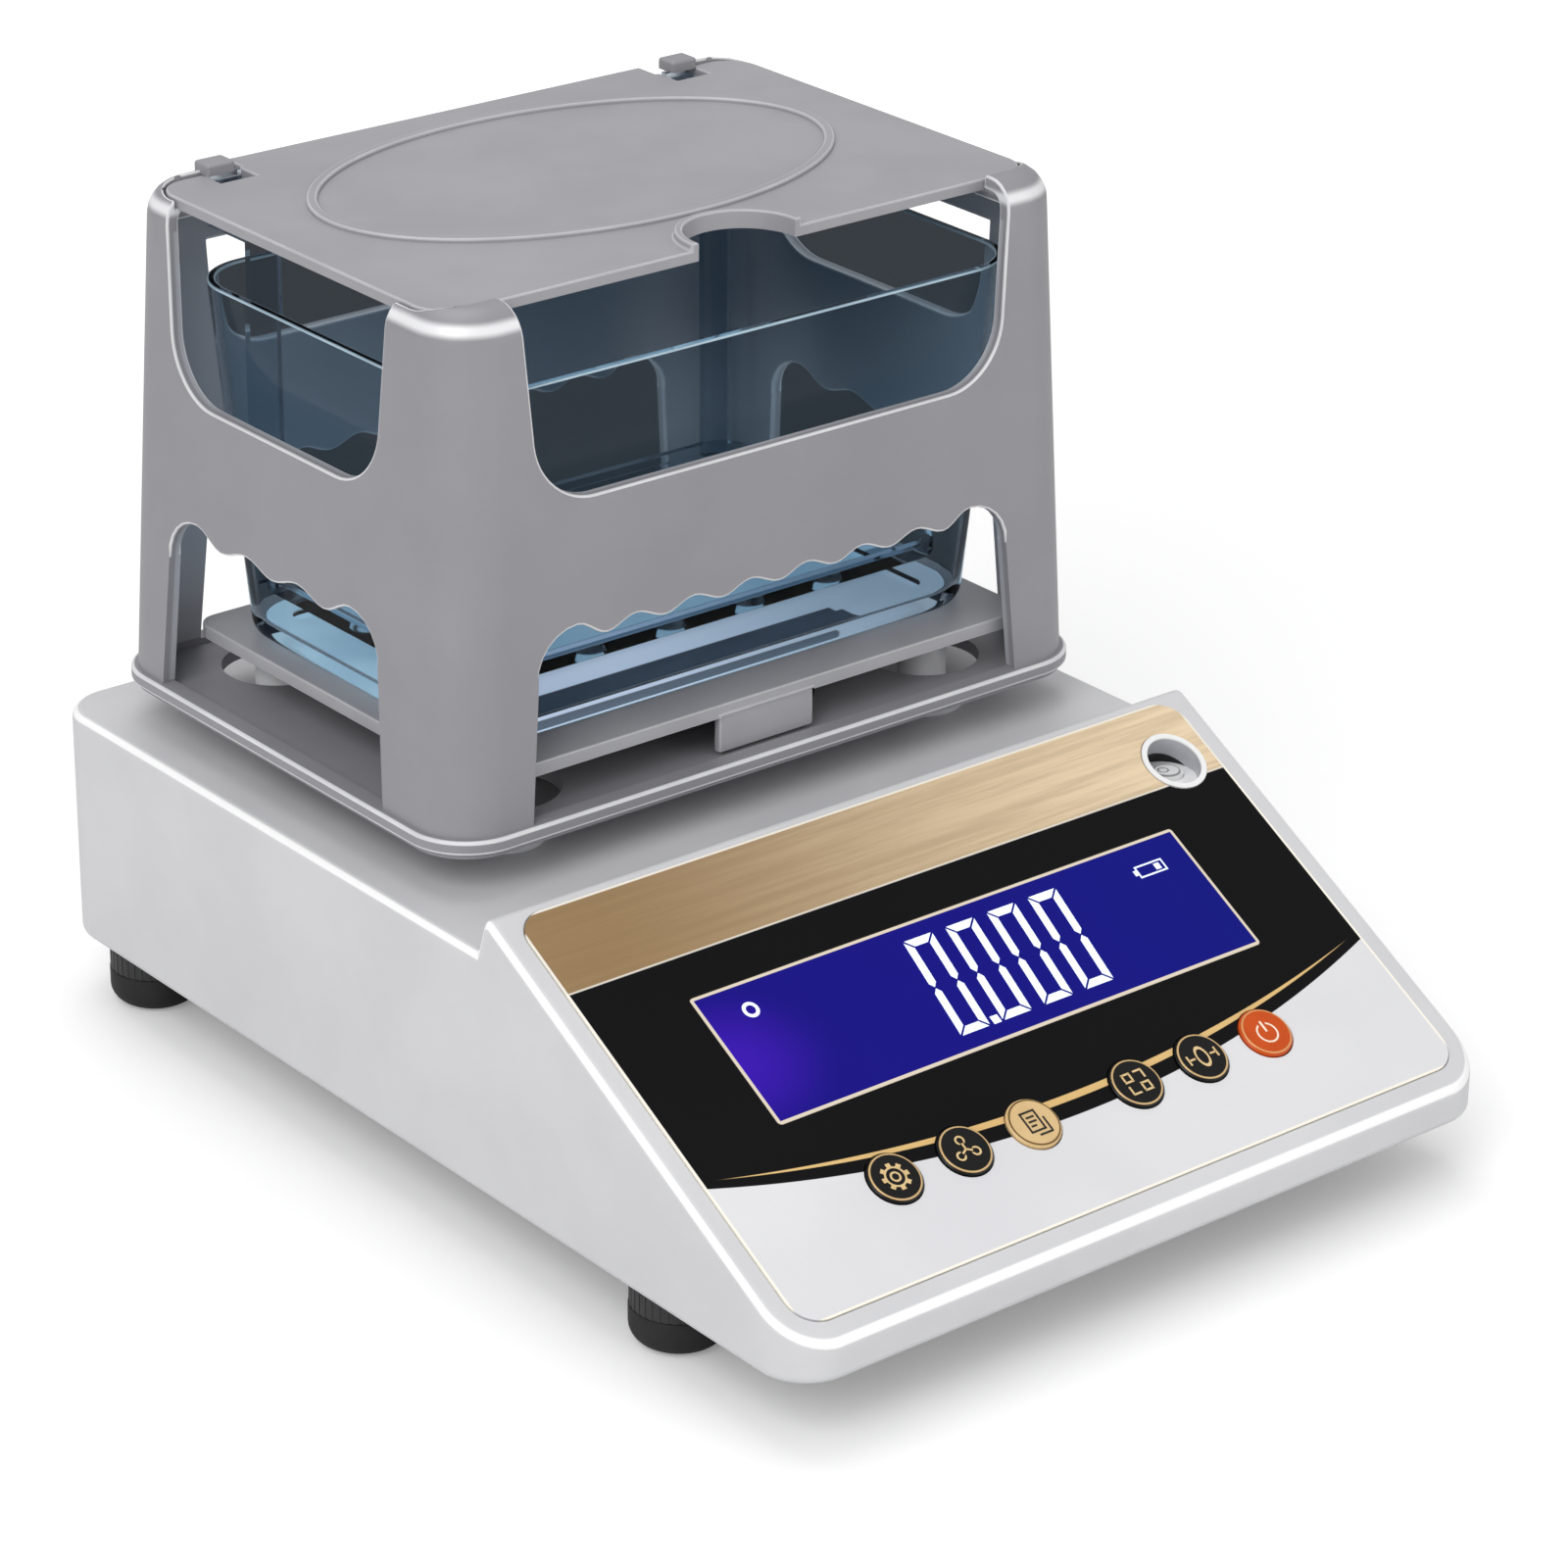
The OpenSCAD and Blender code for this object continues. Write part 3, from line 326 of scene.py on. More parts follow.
class Sheet:
    # a material, or the world, while its nodes are laid out
    def __init__(self, name, world=None):
        self.material = world or bpy.data.materials.new(name)
        self.material.use_nodes = True
        self.tree = self.material.node_tree
        self.shader = self.tree.nodes.get("Principled BSDF")
        self.place = self.node("ShaderNodeTexCoord", output="Object")
        self.split = None

    def node(self, kind, settings=None, inputs=None, output=0):
        made = self.tree.nodes.new(kind)
        for name, value in (settings or {}).items():
            setattr(made, name, value)
        for name, value in (inputs or {}).items():
            self.feed(made.inputs[name], value)
        return Wire(self, made.outputs[output])

    def feed(self, socket, value):
        if isinstance(value, Wire):
            self.tree.links.new(value.socket, socket)
        else:
            socket.default_value = value

    def fill(self, **values):
        names = {name.replace(" ", "").lower(): name for name in self.shader.inputs.keys()}
        for name, value in values.items():
            self.feed(self.shader.inputs[names[name.lower()]], value)

    def axis(self, letter):
        # a coordinate in millimetres
        if not self.split:
            self.split = self.tree.nodes.new("ShaderNodeSeparateXYZ")
            self.tree.links.new(self.place.socket, self.split.inputs[0])
        return Wire(self, self.split.outputs[letter]) * 1000

    def downSlope(self):
        # distance down the panel from its back edge
        return (panel["y"] - self.axis("Y")) * leanCos + (panel["z"] - self.axis("Z")) * leanSin

    def stretched(self, x, y, z):
        return self.node("ShaderNodeMapping", {}, {"Vector": self.place, "Scale": (x, y, z)})

    def noise(self, size, detail=3, where=None, rough=0.55):
        # size is the width of a blot in millimetres
        return self.node("ShaderNodeTexNoise", {}, {"Vector": where or self.place,
                         "Scale": 1000 / size, "Detail": detail, "Roughness": rough}, "Fac")

    def mix(self, amount, a, b):
        return self.node("ShaderNodeMix", {"data_type": "RGBA"}, {0: amount, 6: a, 7: b}, 2)

    def bump(self, height, depth):
        return self.node("ShaderNodeBump", {}, {"Height": height, "Distance": depth * mm, "Strength": 1},
                         "Normal")


def surface(name, light, dark, rough=0.5, spread=0.08, blot=30, grain=0.7, depth=0.02,
            streak=(1, 1, 1), metal=0.0, coat=0.0, coatRough=0.1):
    # a plain finish: two close tones in soft blots, uneven gloss and a fine grain
    sheet = Sheet(name)
    where = sheet.stretched(*streak)
    blots = sheet.noise(blot, 3, where)
    fine = sheet.noise(grain, 2, where)
    sheet.fill(baseColor=sheet.mix(blots.rise(0.3, 0.7) * 0.7 + fine * 0.3, tone(*dark), tone(*light)),
               roughness=rough - spread / 2 + blots * spread * 0.6 + fine * spread * 0.4,
               metallic=metal, coatWeight=coat, coatRoughness=coatRough,
               normal=sheet.bump(fine, depth))
    return sheet


def dress(obj, *sheets):
    while len(obj.data.materials) < len(sheets):
        obj.data.materials.append(None)
    for i, sheet in enumerate(sheets):
        obj.data.materials[i] = sheet.material


framePlastic = surface("frame_plastic", (150, 149, 154), (143, 142, 147), rough=0.44, spread=0.1, blot=35,
                       grain=0.45, depth=0.02, metal=0.12)
# painted highlight: the pale tone that the frame's rounded edges get
frameEdgeHighlight = surface("frame_edge_highlight", (222, 222, 224), (206, 206, 209), rough=0.34, spread=0.08, blot=12,
                    grain=0.4, depth=0.01)
# painted highlight: the pale tone that the rounded edges of the plate, its oval ring and the platform get
plateEdgeHighlight = surface("plate_edge_highlight", (186, 186, 190), (174, 174, 178), rough=0.36, spread=0.08, blot=12,
                    grain=0.4, depth=0.01)
platePlastic = surface("plate_plastic", (158, 157, 162), (148, 147, 152), rough=0.42, spread=0.12,
                       blot=30, grain=0.4, depth=0.02)
plain = {
    "cover": surface("cover_plastic", (72, 72, 76), (60, 60, 64), 0.6, grain=0.6, depth=0.04),
    "screw_steel": surface("screw_steel", (168, 168, 172), (140, 140, 146), 0.32, grain=0.3, metal=1.0),
    "display": surface("display_case", (60, 62, 66), (50, 52, 56), 0.5),
    "circuit": surface("circuit_board", (36, 98, 58), (26, 80, 46), 0.38, blot=6, grain=0.8, coat=0.4),
    "switch_black": surface("switch_black", (34, 34, 36), (24, 24, 26), 0.42),
    "battery": surface("battery_sleeve", (58, 66, 84), (46, 52, 68), 0.35, blot=18, coat=0.3),
    "port_metal": surface("port_metal", (176, 177, 180), (150, 151, 156), 0.3, grain=0.3, metal=1.0),
    "cell_metal": surface("cell_metal", (196, 197, 200), (172, 174, 178), 0.34, blot=14, grain=0.3,
                          streak=(0.15, 1, 1), metal=1.0),
    "foot_rubber": surface("foot_rubber", (28, 28, 29), (19, 19, 20), 0.72, blot=6, grain=0.5, depth=0.06),
    "wheel_black": surface("wheel_black", (40, 40, 42), (28, 28, 30), 0.45, blot=5, grain=0.4, depth=0.03),
    "pillar_white": surface("pillar_white", (232, 232, 234), (218, 219, 222), 0.38, blot=8, grain=0.5),
    "platform_grey": surface("platform_grey", (168, 168, 172), (158, 158, 163), 0.4, blot=25, grain=0.5),
    "level_white": surface("level_white", (236, 236, 236), (222, 222, 224), 0.35, blot=3, grain=0.3),
}
print("plain finishes ready")

goldLine = surface("gold_line", (226, 198, 146), (206, 174, 118), 0.35, blot=3, grain=0.3, depth=0.004)
blackLine = surface("black_line", (28, 24, 20), (18, 16, 14), 0.4, blot=3, grain=0.3, depth=0.004)
whiteLine = surface("white_line", (250, 232, 212), (240, 218, 194), 0.35, blot=3, grain=0.3, depth=0.004)
figureFinish = surface("figure_white", (232, 240, 252), (214, 226, 246), 0.4, blot=6, grain=0.3,
                       depth=0.002)
figureFinish.fill(emissionColor=(0.8, 0.88, 1, 1), emissionStrength=0.35)
# painted highlight: the pale, opaque tone on the rounded rim of the smoked tank
rimHighlight = surface("tank_rim_highlight", (176, 200, 214), (150, 176, 192), rough=0.15, spread=0.05, blot=10,
                    grain=0.4, depth=0.004, coat=0.5)

# the CAD nodes that get each plain finish, by the start of their names
wearers = {
    "screw_steel": ("cover_screws", "board_screws", "cell_bolts", "hub_bolts"),
    "display": ("display_module",), "circuit": ("key_board", "main_board"),
    "switch_black": ("key_switches", "dc_inlet"), "battery": ("battery_pack",),
    "port_metal": ("data_port",), "cell_metal": ("load_cell", "cell_riser", "pan_hub", "pan_carrier"),
    "foot_rubber": ("carrier_pads", "foot_pad"), "pillar_white": ("platform_pillars",),
    "platform_grey": ("tank_platform",), "wheel_black": ("foot_screw",), "level_white": ("level_body",),
}


def finishOf(name):
    for finish, starts in wearers.items():
        if name.startswith(starts):
            return plain[finish]
    return plain["cover"]


# the printed panel: gold band, black field and a gold swoosh between the keys

printed = {"bandEnd": 23.8, "black": (89.8, 295.0), "goldTop": (84.55, 382.0), "goldEnd": (86.2, 329.0),
           "film": (90.9, 57.03, 53.5), "hair": (0.15, 0.3)}


def bow(x, lowest, bend):
    # an arc across the panel, lowest in the middle
    return (bend * bend - x * x).root() + (lowest - bend)


def makePrint():
    sheet = Sheet("panel_print")
    x, s = sheet.axis("X"), sheet.downSlope()
    brushed = sheet.noise(2.2, 5, sheet.stretched(0.04, 1, 1), 0.7)
    fine = sheet.noise(0.5, 2)
    cloud = sheet.noise(60, 2)
    across = (x + 95) / 190
    gold = sheet.mix(across.rise(0.05, 0.95), tone(158, 130, 94), tone(240, 218, 184))
    gold = sheet.mix(brushed.rise(0.35, 0.65) * 0.3, gold, tone(140, 114, 82))
    black = sheet.mix(cloud, tone(6, 6, 8), tone(11, 11, 13))
    pale = sheet.mix(cloud.rise(0.3, 0.7), tone(212, 212, 215), tone(219, 219, 221))
    inBand = 1 - s.step(printed["bandEnd"], 0.06)
    inBlack = 1 - s.step(bow(x, *printed["black"]), 0.08)
    inSwoosh = s.step(bow(x, *printed["goldTop"]), 0.07) * (1 - s.step(bow(x, *printed["goldEnd"]), 0.07))
    colour = sheet.mix(inBlack, pale, black)
    colour = sheet.mix(inSwoosh, colour, sheet.mix(cloud, tone(208, 172, 112), tone(222, 188, 128)))
    colour = sheet.mix(inBand, colour, gold)
    # a bright hairline runs round the film and along the end of the band
    filmX, middleS, filmS = printed["film"]
    edge = (abs(x) - filmX).most(abs(s - middleS) - filmS).rise(-0.1, 0.1)
    hair = (1 - abs(s - printed["bandEnd"]).rise(*printed["hair"])) * 0.7
    colour = sheet.mix(edge.most(hair), colour, tone(244, 238, 226))
    sheet.fill(baseColor=colour, roughness=0.42 + fine * 0.08 + inBand * 0.06, metallic=inBand * 0.3,
               specularIORLevel=0.1, normal=sheet.bump(fine, 0.01))
    return sheet


# the lit window: blue with a violet glow at its left end and a pale line round it

lens = {"left": -67.0, "wide": 134.0, "glow": (52.0, 1.6, 26.0), "line": (66.3, 50.9, 16.2)}


def makeLens():
    sheet = Sheet("lens_blue")
    x, s = sheet.axis("X"), sheet.downSlope()
    fine = sheet.noise(0.6, 2)
    cloud = sheet.noise(40, 2)
    fromLeft = x - lens["left"]
    deep = sheet.mix(fromLeft / lens["wide"], tone(24, 12, 142), tone(14, 20, 136))
    glowS, flat, reach = lens["glow"]
    away = (fromLeft * fromLeft + (s - glowS) * (s - glowS) * flat).root()
    glow = (1 - away.rise(1, reach)) * 0.6
    lit = sheet.mix(cloud * 0.25, sheet.mix(glow, deep, tone(84, 28, 224)), tone(10, 8, 104))
    lineX, middleS, lineS = lens["line"]
    line = (abs(x) - lineX).most(abs(s - middleS) - lineS).rise(-0.05, 0.05)
    colour = sheet.mix(line, lit, tone(240, 226, 205))
    sheet.fill(baseColor=sheet.mix(0.85, colour, tone(4, 4, 20)), roughness=0.3 + fine * 0.05,
               emissionColor=colour, emissionStrength=0.75, specularIORLevel=0.08,
               normal=sheet.bump(fine, 0.004))
    return sheet


# the round keys: where they are, and the thin ring printed on each

keys = {"s": 88.2, "ring": (5.4, 5.8), "blur": 0.05,
        "x": {"key_settings": -51.7, "key_function": -33.0, "key_enter": -14.3,
              "key_mode": 14.3, "key_zero": 33.0, "key_power": 51.7}}


def makeKey(name, light, dark, ring):
    sheet = Sheet(name + "_print")
    x, s = sheet.axis("X") - keys["x"][name], sheet.downSlope() - keys["s"]
    away = lengthOf(x, s)
    fine = sheet.noise(0.5, 2)
    body = sheet.mix(sheet.noise(6, 2), tone(*dark), tone(*light))
    inner, outer = keys["ring"]
    inRing = away.step(inner, keys["blur"]) * (1 - away.step(outer, keys["blur"]))
    sheet.fill(baseColor=sheet.mix(inRing, body, tone(*ring)), roughness=0.32 + fine * 0.08,
               metallic=inRing * 0.3, specularIORLevel=0.25, normal=sheet.bump(fine, 0.006))
    return sheet


# the level: a silver cup with painted shade at its lower end and a painted highlight on its lip, a white
# plug, a vial with its bubble

level = {"x": 80.3, "s": 18.5, "middleY": -45.66, "shadeTo": -4.6, "rim": 2.9, "bubble": (0.7, -0.4, 1.15)}


def makeCup():
    sheet = Sheet("level_cup")
    fine = sheet.noise(0.4, 2)
    depth = (sheet.axis("Z") - panel["z"]) * leanCos - (sheet.axis("Y") - panel["y"]) * leanSin
    # painted shade: the cup turns near-black below a depth; its lip gets a painted highlight in white
    dark = 1 - depth.step(level["shadeTo"], 0.15)
    lip = depth.rise(0.15, 0.35)
    metal = sheet.mix(sheet.noise(5, 2), tone(172, 173, 180), tone(200, 201, 206))
    colour = sheet.mix(lip, sheet.mix(dark, metal, tone(18, 19, 24)), tone(246, 246, 246))
    sheet.fill(baseColor=colour, roughness=0.34 + fine * 0.1, metallic=0.25, normal=sheet.bump(fine, 0.008))
    return sheet


def makeVial():
    sheet = Sheet("level_vial")
    x, y = sheet.axis("X") - level["x"], sheet.axis("Y") - level["middleY"]
    bubbleX, bubbleY, size = level["bubble"]
    fine = sheet.noise(0.4, 2)
    rim = 1 - abs(lengthOf(x, y) - level["rim"]).rise(0.1, 0.3)
    skin = 1 - abs(lengthOf(x + bubbleX, y + bubbleY) - size).rise(0.1, 0.25)
    colour = sheet.mix(fine, tone(214, 214, 214), tone(228, 229, 229))
    colour = sheet.mix(rim * 0.85, colour, tone(120, 120, 124))
    colour = sheet.mix(skin * 0.85, colour, tone(70, 70, 74))
    sheet.fill(baseColor=colour, roughness=0.14 + fine * 0.04, coatWeight=0.5, coatRoughness=0.05)
    return sheet


# see-through finishes

def clearFinish(name, tint, deeper, rough=0.03):
    # smoked or clear plastic; the light of the lamps goes straight through it
    sheet = Sheet(name)
    cloud = sheet.noise(40, 2)
    fine = sheet.noise(0.6, 2)
    sheet.fill(baseColor=sheet.mix(cloud, tint, deeper), roughness=rough + fine * 0.02,
               transmissionWeight=1.0, ior=1.13, specularIORLevel=0.35)
    bare = sheet.node("ShaderNodeBsdfTransparent", {}, {"Color": (0.97, 0.985, 1, 1)})
    forLamps = sheet.node("ShaderNodeLightPath", output="Is Shadow Ray")
    mixed = sheet.node("ShaderNodeMixShader", {},
                       {0: forLamps, 1: Wire(sheet, sheet.shader.outputs[0]), 2: bare})
    sheet.feed(sheet.tree.nodes["Material Output"].inputs["Surface"], mixed)
    return sheet


floorMarks = {"left": -60.5, "right": 37.0, "front": 9.4, "back": 20.7, "step": 37.8}


def makeTankFloor():
    # the pale floor: a dark strip near its front, a bright part behind it and a step in tone; its lighter
    # left side and its glow are painted light
    sheet = Sheet("tank_floor")
    x, y = sheet.axis("X"), sheet.axis("Y")
    cloud, fine = sheet.noise(30, 2), sheet.noise(0.6, 2)
    strip = y.step(floorMarks["front"], 0.4) * (1 - y.step(floorMarks["back"], 0.3)) * \
        x.step(floorMarks["left"], 0.5) * (1 - x.step(floorMarks["right"], 0.4))
    # painted light: the near part is lighter at the left and darker to the right
    near = sheet.mix(x.rise(-30, 60), tone(214, 224, 242), tone(150, 168, 184))
    near = sheet.mix(y.rise(26, 37), near, tone(92, 118, 138))
    far = sheet.mix(cloud.rise(0.3, 0.7), tone(150, 182, 202), tone(172, 202, 218))
    colour = sheet.mix(y.step(floorMarks["step"], 0.4), near, far)
    colour = sheet.mix(1 - y.rise(8.4, 9.2), colour, tone(112, 132, 148))
    colour = sheet.mix(strip, colour, sheet.mix(cloud, tone(46, 54, 66), tone(60, 69, 82)))
    # the floor glows with its own colour: painted light
    sheet.fill(baseColor=sheet.mix(0.4, colour, tone(60, 70, 80)), roughness=0.16 + fine * 0.04,
               emissionColor=colour, emissionStrength=0.75, coatWeight=0.3, coatRoughness=0.06)
    return sheet


# the moulded housing, open below, with its seat for the overlay and all its holes

housing = {"width": 194.0, "depth": 267.0, "corner": 12.0, "edge": 2.2, "wall": 2.5,
           "outside": [(-133.5, 15), (-133.5, 24), (-31.5, 80.4), (-28.6, 71), (133.5, 71), (133.5, 15)],
           "inside": [(-131, 10), (-131, 22.5), (-33, 76.7), (-30.5, 68.5), (131, 68.5), (131, 10)],
           "seat": (91.7, -111.3, -2.8, 7.0), "window": (67.2, -68.0, -33.8), "keyHole": 6.5,
           "levelHole": 7.35, "hub": (55.5, 10.0), "port": (39.3, 70.7, 30.55, 43.45),
           "inlet": (-60.0, 37.0, 5.7), "line": (0.12, 0.3, 1.1, 1.5)}
pillars = {"x": 59.0, "y": (13.5, 97.5), "hole": 3.05}


def makeWedge(name, outline, width, depth, corner):
    wedge = shift(addOutline(name, outline, -width / 2, width / 2), turn=90)
    block = addBlock("block", (-width / 2, -depth / 2, 5), (width / 2, depth / 2, 90), corner, 12)
    return carve(wedge, block, how="INTERSECT")


def makeHousing():
    body = makeWedge("housing", housing["outside"], housing["width"], housing["depth"], housing["corner"])

    def rounded(a, b):
        atBottom = a.z < 15.1 and b.z < 15.1
        atRiser = abs(a.y + 28.6) < 0.1 and abs(b.y + 28.6) < 0.1
        return not atBottom and not atRiser
    roundSharp(body, housing["edge"], steps=5, angle=25, keep=rounded)
    wall = housing["wall"]
    hollow = makeWedge("hollow", housing["inside"], housing["width"] - 2 * wall,
                       housing["depth"] - 2 * wall, housing["corner"] - wall)
    # flat on the panel: the seat of the overlay, the window, the holes of the keys and of the level
    halfX, frontY, backY, corner = housing["seat"]
    seat = addBlock("seat", (-halfX, frontY, -0.5), (halfX, backY, 4), corner, 8)
    halfX, frontY, backY = housing["window"]
    window = addBox("window", (-halfX, frontY, -6), (halfX, backY, 4))
    holes = [addRod("hole", x, -keys["s"], housing["keyHole"], -6, 4) for x in keys["x"].values()]
    holes.append(addRod("hole", level["x"], -level["s"], housing["levelHole"], -12, 4))
    cuts = layOnPanel(merge(window, *holes))
    # through the deck: the hub and the pillars; through the back: the port and the inlet
    hubY, hubRadius = housing["hub"]
    hub = addRod("hole", 0, hubY, hubRadius, 60, 80)
    pins = [addRod("hole", side * pillars["x"], y, pillars["hole"], 60, 80)
            for side in (-1, 1) for y in pillars["y"]]
    left, right, low, high = housing["port"]
    port = addBox("port", (left, 125, low), (right, 140, high))
    inletX, inletZ, inletRadius = housing["inlet"]
    inlet = addRod("inlet", 0, 0, inletRadius, -8, 8)
    inlet.rotation_euler = (math.radians(90), 0, 0)
    inlet.location = (inletX * mm, 132.5 * mm, inletZ * mm)
    settle(inlet)
    return soften(carve(body, hollow, layOnPanel(seat), cuts, merge(hub, *pins, port, inlet)))


def makeHousingPaint():
    # silver-white with a painted highlight, the thin bright line that runs round all its upper edges
    sheet = Sheet("housing_paint")
    x, y = abs(sheet.axis("X")), abs(sheet.axis("Y"))
    flatX = housing["width"] / 2 - housing["corner"]
    flatY = housing["depth"] / 2 - housing["corner"]
    inward = housing["corner"] - lengthOf((x - flatX).most(0), (y - flatY).most(0))
    low, full, to, end = housing["line"]
    # painted highlight: a near-white line on the rounded upper edges, also a little glossier
    line = inward.rise(low, full) * (1 - inward.rise(to, end)) * sheet.axis("Z").rise(21, 22)
    blots = sheet.noise(45, 3)
    fine = sheet.noise(0.5, 2)
    plastic = sheet.mix(blots.rise(0.3, 0.7), tone(201, 201, 204), tone(208, 208, 210))
    sheet.fill(baseColor=sheet.mix(line * 0.9, plastic, tone(250, 250, 250)),
               roughness=0.36 + fine * 0.08 - line * 0.1, normal=sheet.bump(fine, 0.01))
    return sheet


# the weighing frame: a leaning box with domed posts, windows with scalloped edges and a foot rim

cage = {"y": 55.5, "low": 79.8, "high": 196.7, "foot": (87.983, 64.683), "head": (83.113, 59.813),
        "corner": 13.0, "dome": 6.5, "wall": 3.0, "floor": 82.7, "sill": 153.0, "sillCorner": 14.0,
        "rail": (179.2, 193.2), "arch": 125.4, "archCorner": 10.5, "wave": 2.3, "archRise": 1.2,
        "rim": (81.0, 84.2), "rimOut": (89.4, 66.1), "rimIn": (84.8, 61.5), "shift": 3.0,
        "cutY": 63.5, "cutX": 80.0, "upper": {"long": (62.2, 65.7), "short": (37.2, 40.7)},
        "lower": {"long": (67.3, 64.5, 7), "short": (42.3, 39.5, 3)}, "seat": (75.8, 52.5, 7.6, 190.2),
        "pocket": (80.75, -51.35, 54.15, 8.5), "ground": (86.4, 63.1, 11.5), "drain": 13.0,
        "crestHighlight": (191.3, 192.9, 193.5, 194.9), "pale": (84.4, 84.8, 188, 189)}


def domedBox(name, foot, head, low, high, corner, edge):
    box = taperedBox(name, foot, head, low, high, corner, 14)
    return roundEdges(box, above(high - 0.01), edge, 6)


def upperWindow(size, railed):
    # open above, or under the rail across the back and the right wall
    foot, head = cage["upper"][size]
    sill, low, high = cage["sill"], cage["rail"][0], cage["rail"][1]
    top = low if railed else 215
    atTop = foot + (head - foot) * (top - sill) / 45.2
    hole = addOutline("window", [(-foot, sill), (foot, sill), (atTop, top), (-atTop, top)], -18, 18)
    roundEdges(hole, lambda a, b: abs(a.y - b.y) > 30 and a.z < sill + 1, cage["sillCorner"], 12)
    if railed:
        merge(hole, addBox("window", (-head, -18, high), (head, 18, 215)))
    return hole


def lowerWindow(size):
    # an arch at each end and count waves between them
    foot, head, count = cage["lower"][size]
    corner, arch, wave = cage["archCorner"], cage["arch"], cage["wave"]
    reach = head - corner
    points = [(-foot, cage["floor"])]
    for turn in range(180, 90, -15):
        x, z = around(turn, corner)
        points.append((x - reach, arch - corner + z))
    steps = count * 10
    for i in range(steps + 1):
        rise = wave + (cage["archRise"] if i < 5 or i > steps - 5 else 0)
        high = arch - cage["archRise"] - wave + rise * (1 + around(i * 36)[0]) / 2
        points.append((-reach + 2 * reach * i / steps, high))
    for turn in range(75, -1, -15):
        x, z = around(turn, corner)
        points.append((reach + x, arch - corner + z))
    points.append((foot, cage["floor"]))
    return addOutline("window", points, -18, 18)


def makeCageFinish():
    # the grey of the frame, with a painted highlight where the tops of the posts round over
    sheet = Sheet("frame_grey")
    x, y, z = abs(sheet.axis("X")), abs(sheet.axis("Y") - cage["y"]), sheet.axis("Z")
    blots, fine = sheet.noise(35, 3), sheet.noise(0.45, 2)
    onPost = (x - 60).rise(0, 2) * (y - 36).rise(0, 2)
    # painted highlight: a near-white band across the rounding of each post's top
    low, full, to, end = cage["crestHighlight"]
    crestHighlight = z.rise(low, full) * (1 - z.rise(to, end)) * onPost
    grey = sheet.mix(blots.rise(0.3, 0.7) * 0.7 + fine * 0.3, tone(141, 140, 145), tone(148, 147, 152))
    # painted light: the inner faces are paler, found by their distance from the axis of the leaning,
    # round-cornered walls
    (footX, footY), corner = cage["foot"], cage["corner"]
    lean = (z - cage["low"]) * ((footX - cage["head"][0]) / (cage["high"] - cage["low"]))
    outward = lengthOf((x + lean - (footX - corner)).most(0), (y + lean - (footY - corner)).most(0))
    low, full, to, end = cage["pale"]
    inner = (1 - outward.rise(corner - 2, corner - 1.2)) * z.rise(low, full) * (1 - z.rise(to, end))
    grey = sheet.mix(inner * 0.7, grey, tone(186, 188, 194))
    sheet.fill(baseColor=sheet.mix(crestHighlight * 0.85, grey, tone(240, 240, 242)),
               roughness=0.4 + blots * 0.06 + fine * 0.04, metallic=0.12, normal=sheet.bump(fine, 0.02))
    return sheet


def makeCage():
    wall, side = cage["wall"], cage["shift"]
    (footX, footY), (headX, headY) = cage["foot"], cage["head"]
    low, high, corner, dome = cage["low"], cage["high"], cage["corner"], cage["dome"]
    body = domedBox("cage", cage["foot"], cage["head"], low, high, corner, dome)
    inside = domedBox("inside", (footX - wall + 0.03, footY - wall + 0.03),
                      (headX - wall + 0.12, headY - wall + 0.12), low - 1, high - wall, corner - wall,
                      dome - wall)
    seatX, seatY, half, seatLow = cage["seat"]
    railHigh = cage["rail"][1]
    seats = [addBox("seat", (x - half, y - half, seatLow), (x + half, y + half, railHigh))
             for x in (-seatX, seatX) for y in (-seatY, seatY)]
    carve(body, carve(inside, merge(*seats)))
    places = [{"y": -cage["cutY"]}, {"y": cage["cutY"]},
              {"x": -cage["cutX"], "y": side, "turn": 90}, {"x": cage["cutX"], "y": side, "turn": 90}]
    sizes = ("long", "long", "short", "short")
    uppers = [shift(upperWindow(size, railed), **where)
              for size, railed, where in zip(sizes, (False, True, False, True), places)]
    carve(body, merge(*uppers))
    lowers = [shift(lowerWindow(size), **where) for size, where in zip(sizes, places)]
    carve(body, merge(*lowers))
    halfX, frontY, backY, corner = cage["pocket"]
    carve(body, addBlock("pocket", (-halfX, frontY, railHigh), (halfX, backY, 215), corner, 8))
    addSlots(body, 2)
    # the shortest edges go first, so that the rounding keeps its width all round
    hold(body)
    edit()
    bpy.ops.mesh.select_all(action="SELECT")
    bpy.ops.mesh.remove_doubles(threshold=0.3 * mm)
    edit(False)
    # the rounded edges take slot 1, a painted highlight
    roundSharp(body, 0.5, steps=2, angle=40, keep=above(cage["floor"] + 0.2),
               finish=1, clamp=False)
    (rimLow, rimHigh), (outX, outY), (inX, inY) = cage["rim"], cage["rimOut"], cage["rimIn"]
    rim = addBlock("rim", (-outX, -outY, rimLow), (outX, outY, rimHigh), 14.6, 14)
    addSlots(rim, 2)
    # the rim's rounded edges take slot 1 too, the painted highlight
    roundEdges(rim, lambda a, b: abs(a.z - b.z) < 0.1, 0.7, 3, finish=1)
    carve(rim, addBlock("gap", (-inX, -inY, rimLow - 1), (inX, inY, rimHigh + 1), 10, 10))
    groundX, groundY, corner = cage["ground"]
    ground = addBlock("ground", (-groundX, -groundY, low), (groundX, groundY, cage["floor"]), corner, 12)
    carve(ground, merge(*[addRod("hole", side * pillars["x"], y - cage["y"], cage["drain"], 70, 90)
                          for side in (-1, 1) for y in pillars["y"]]))
    carve(body, ground, rim, how="UNION")
    return soften(shift(body, y=cage["y"]))


# the flat plate on top: raised oval ring, finger notch with a lip, slots for the basket's arms

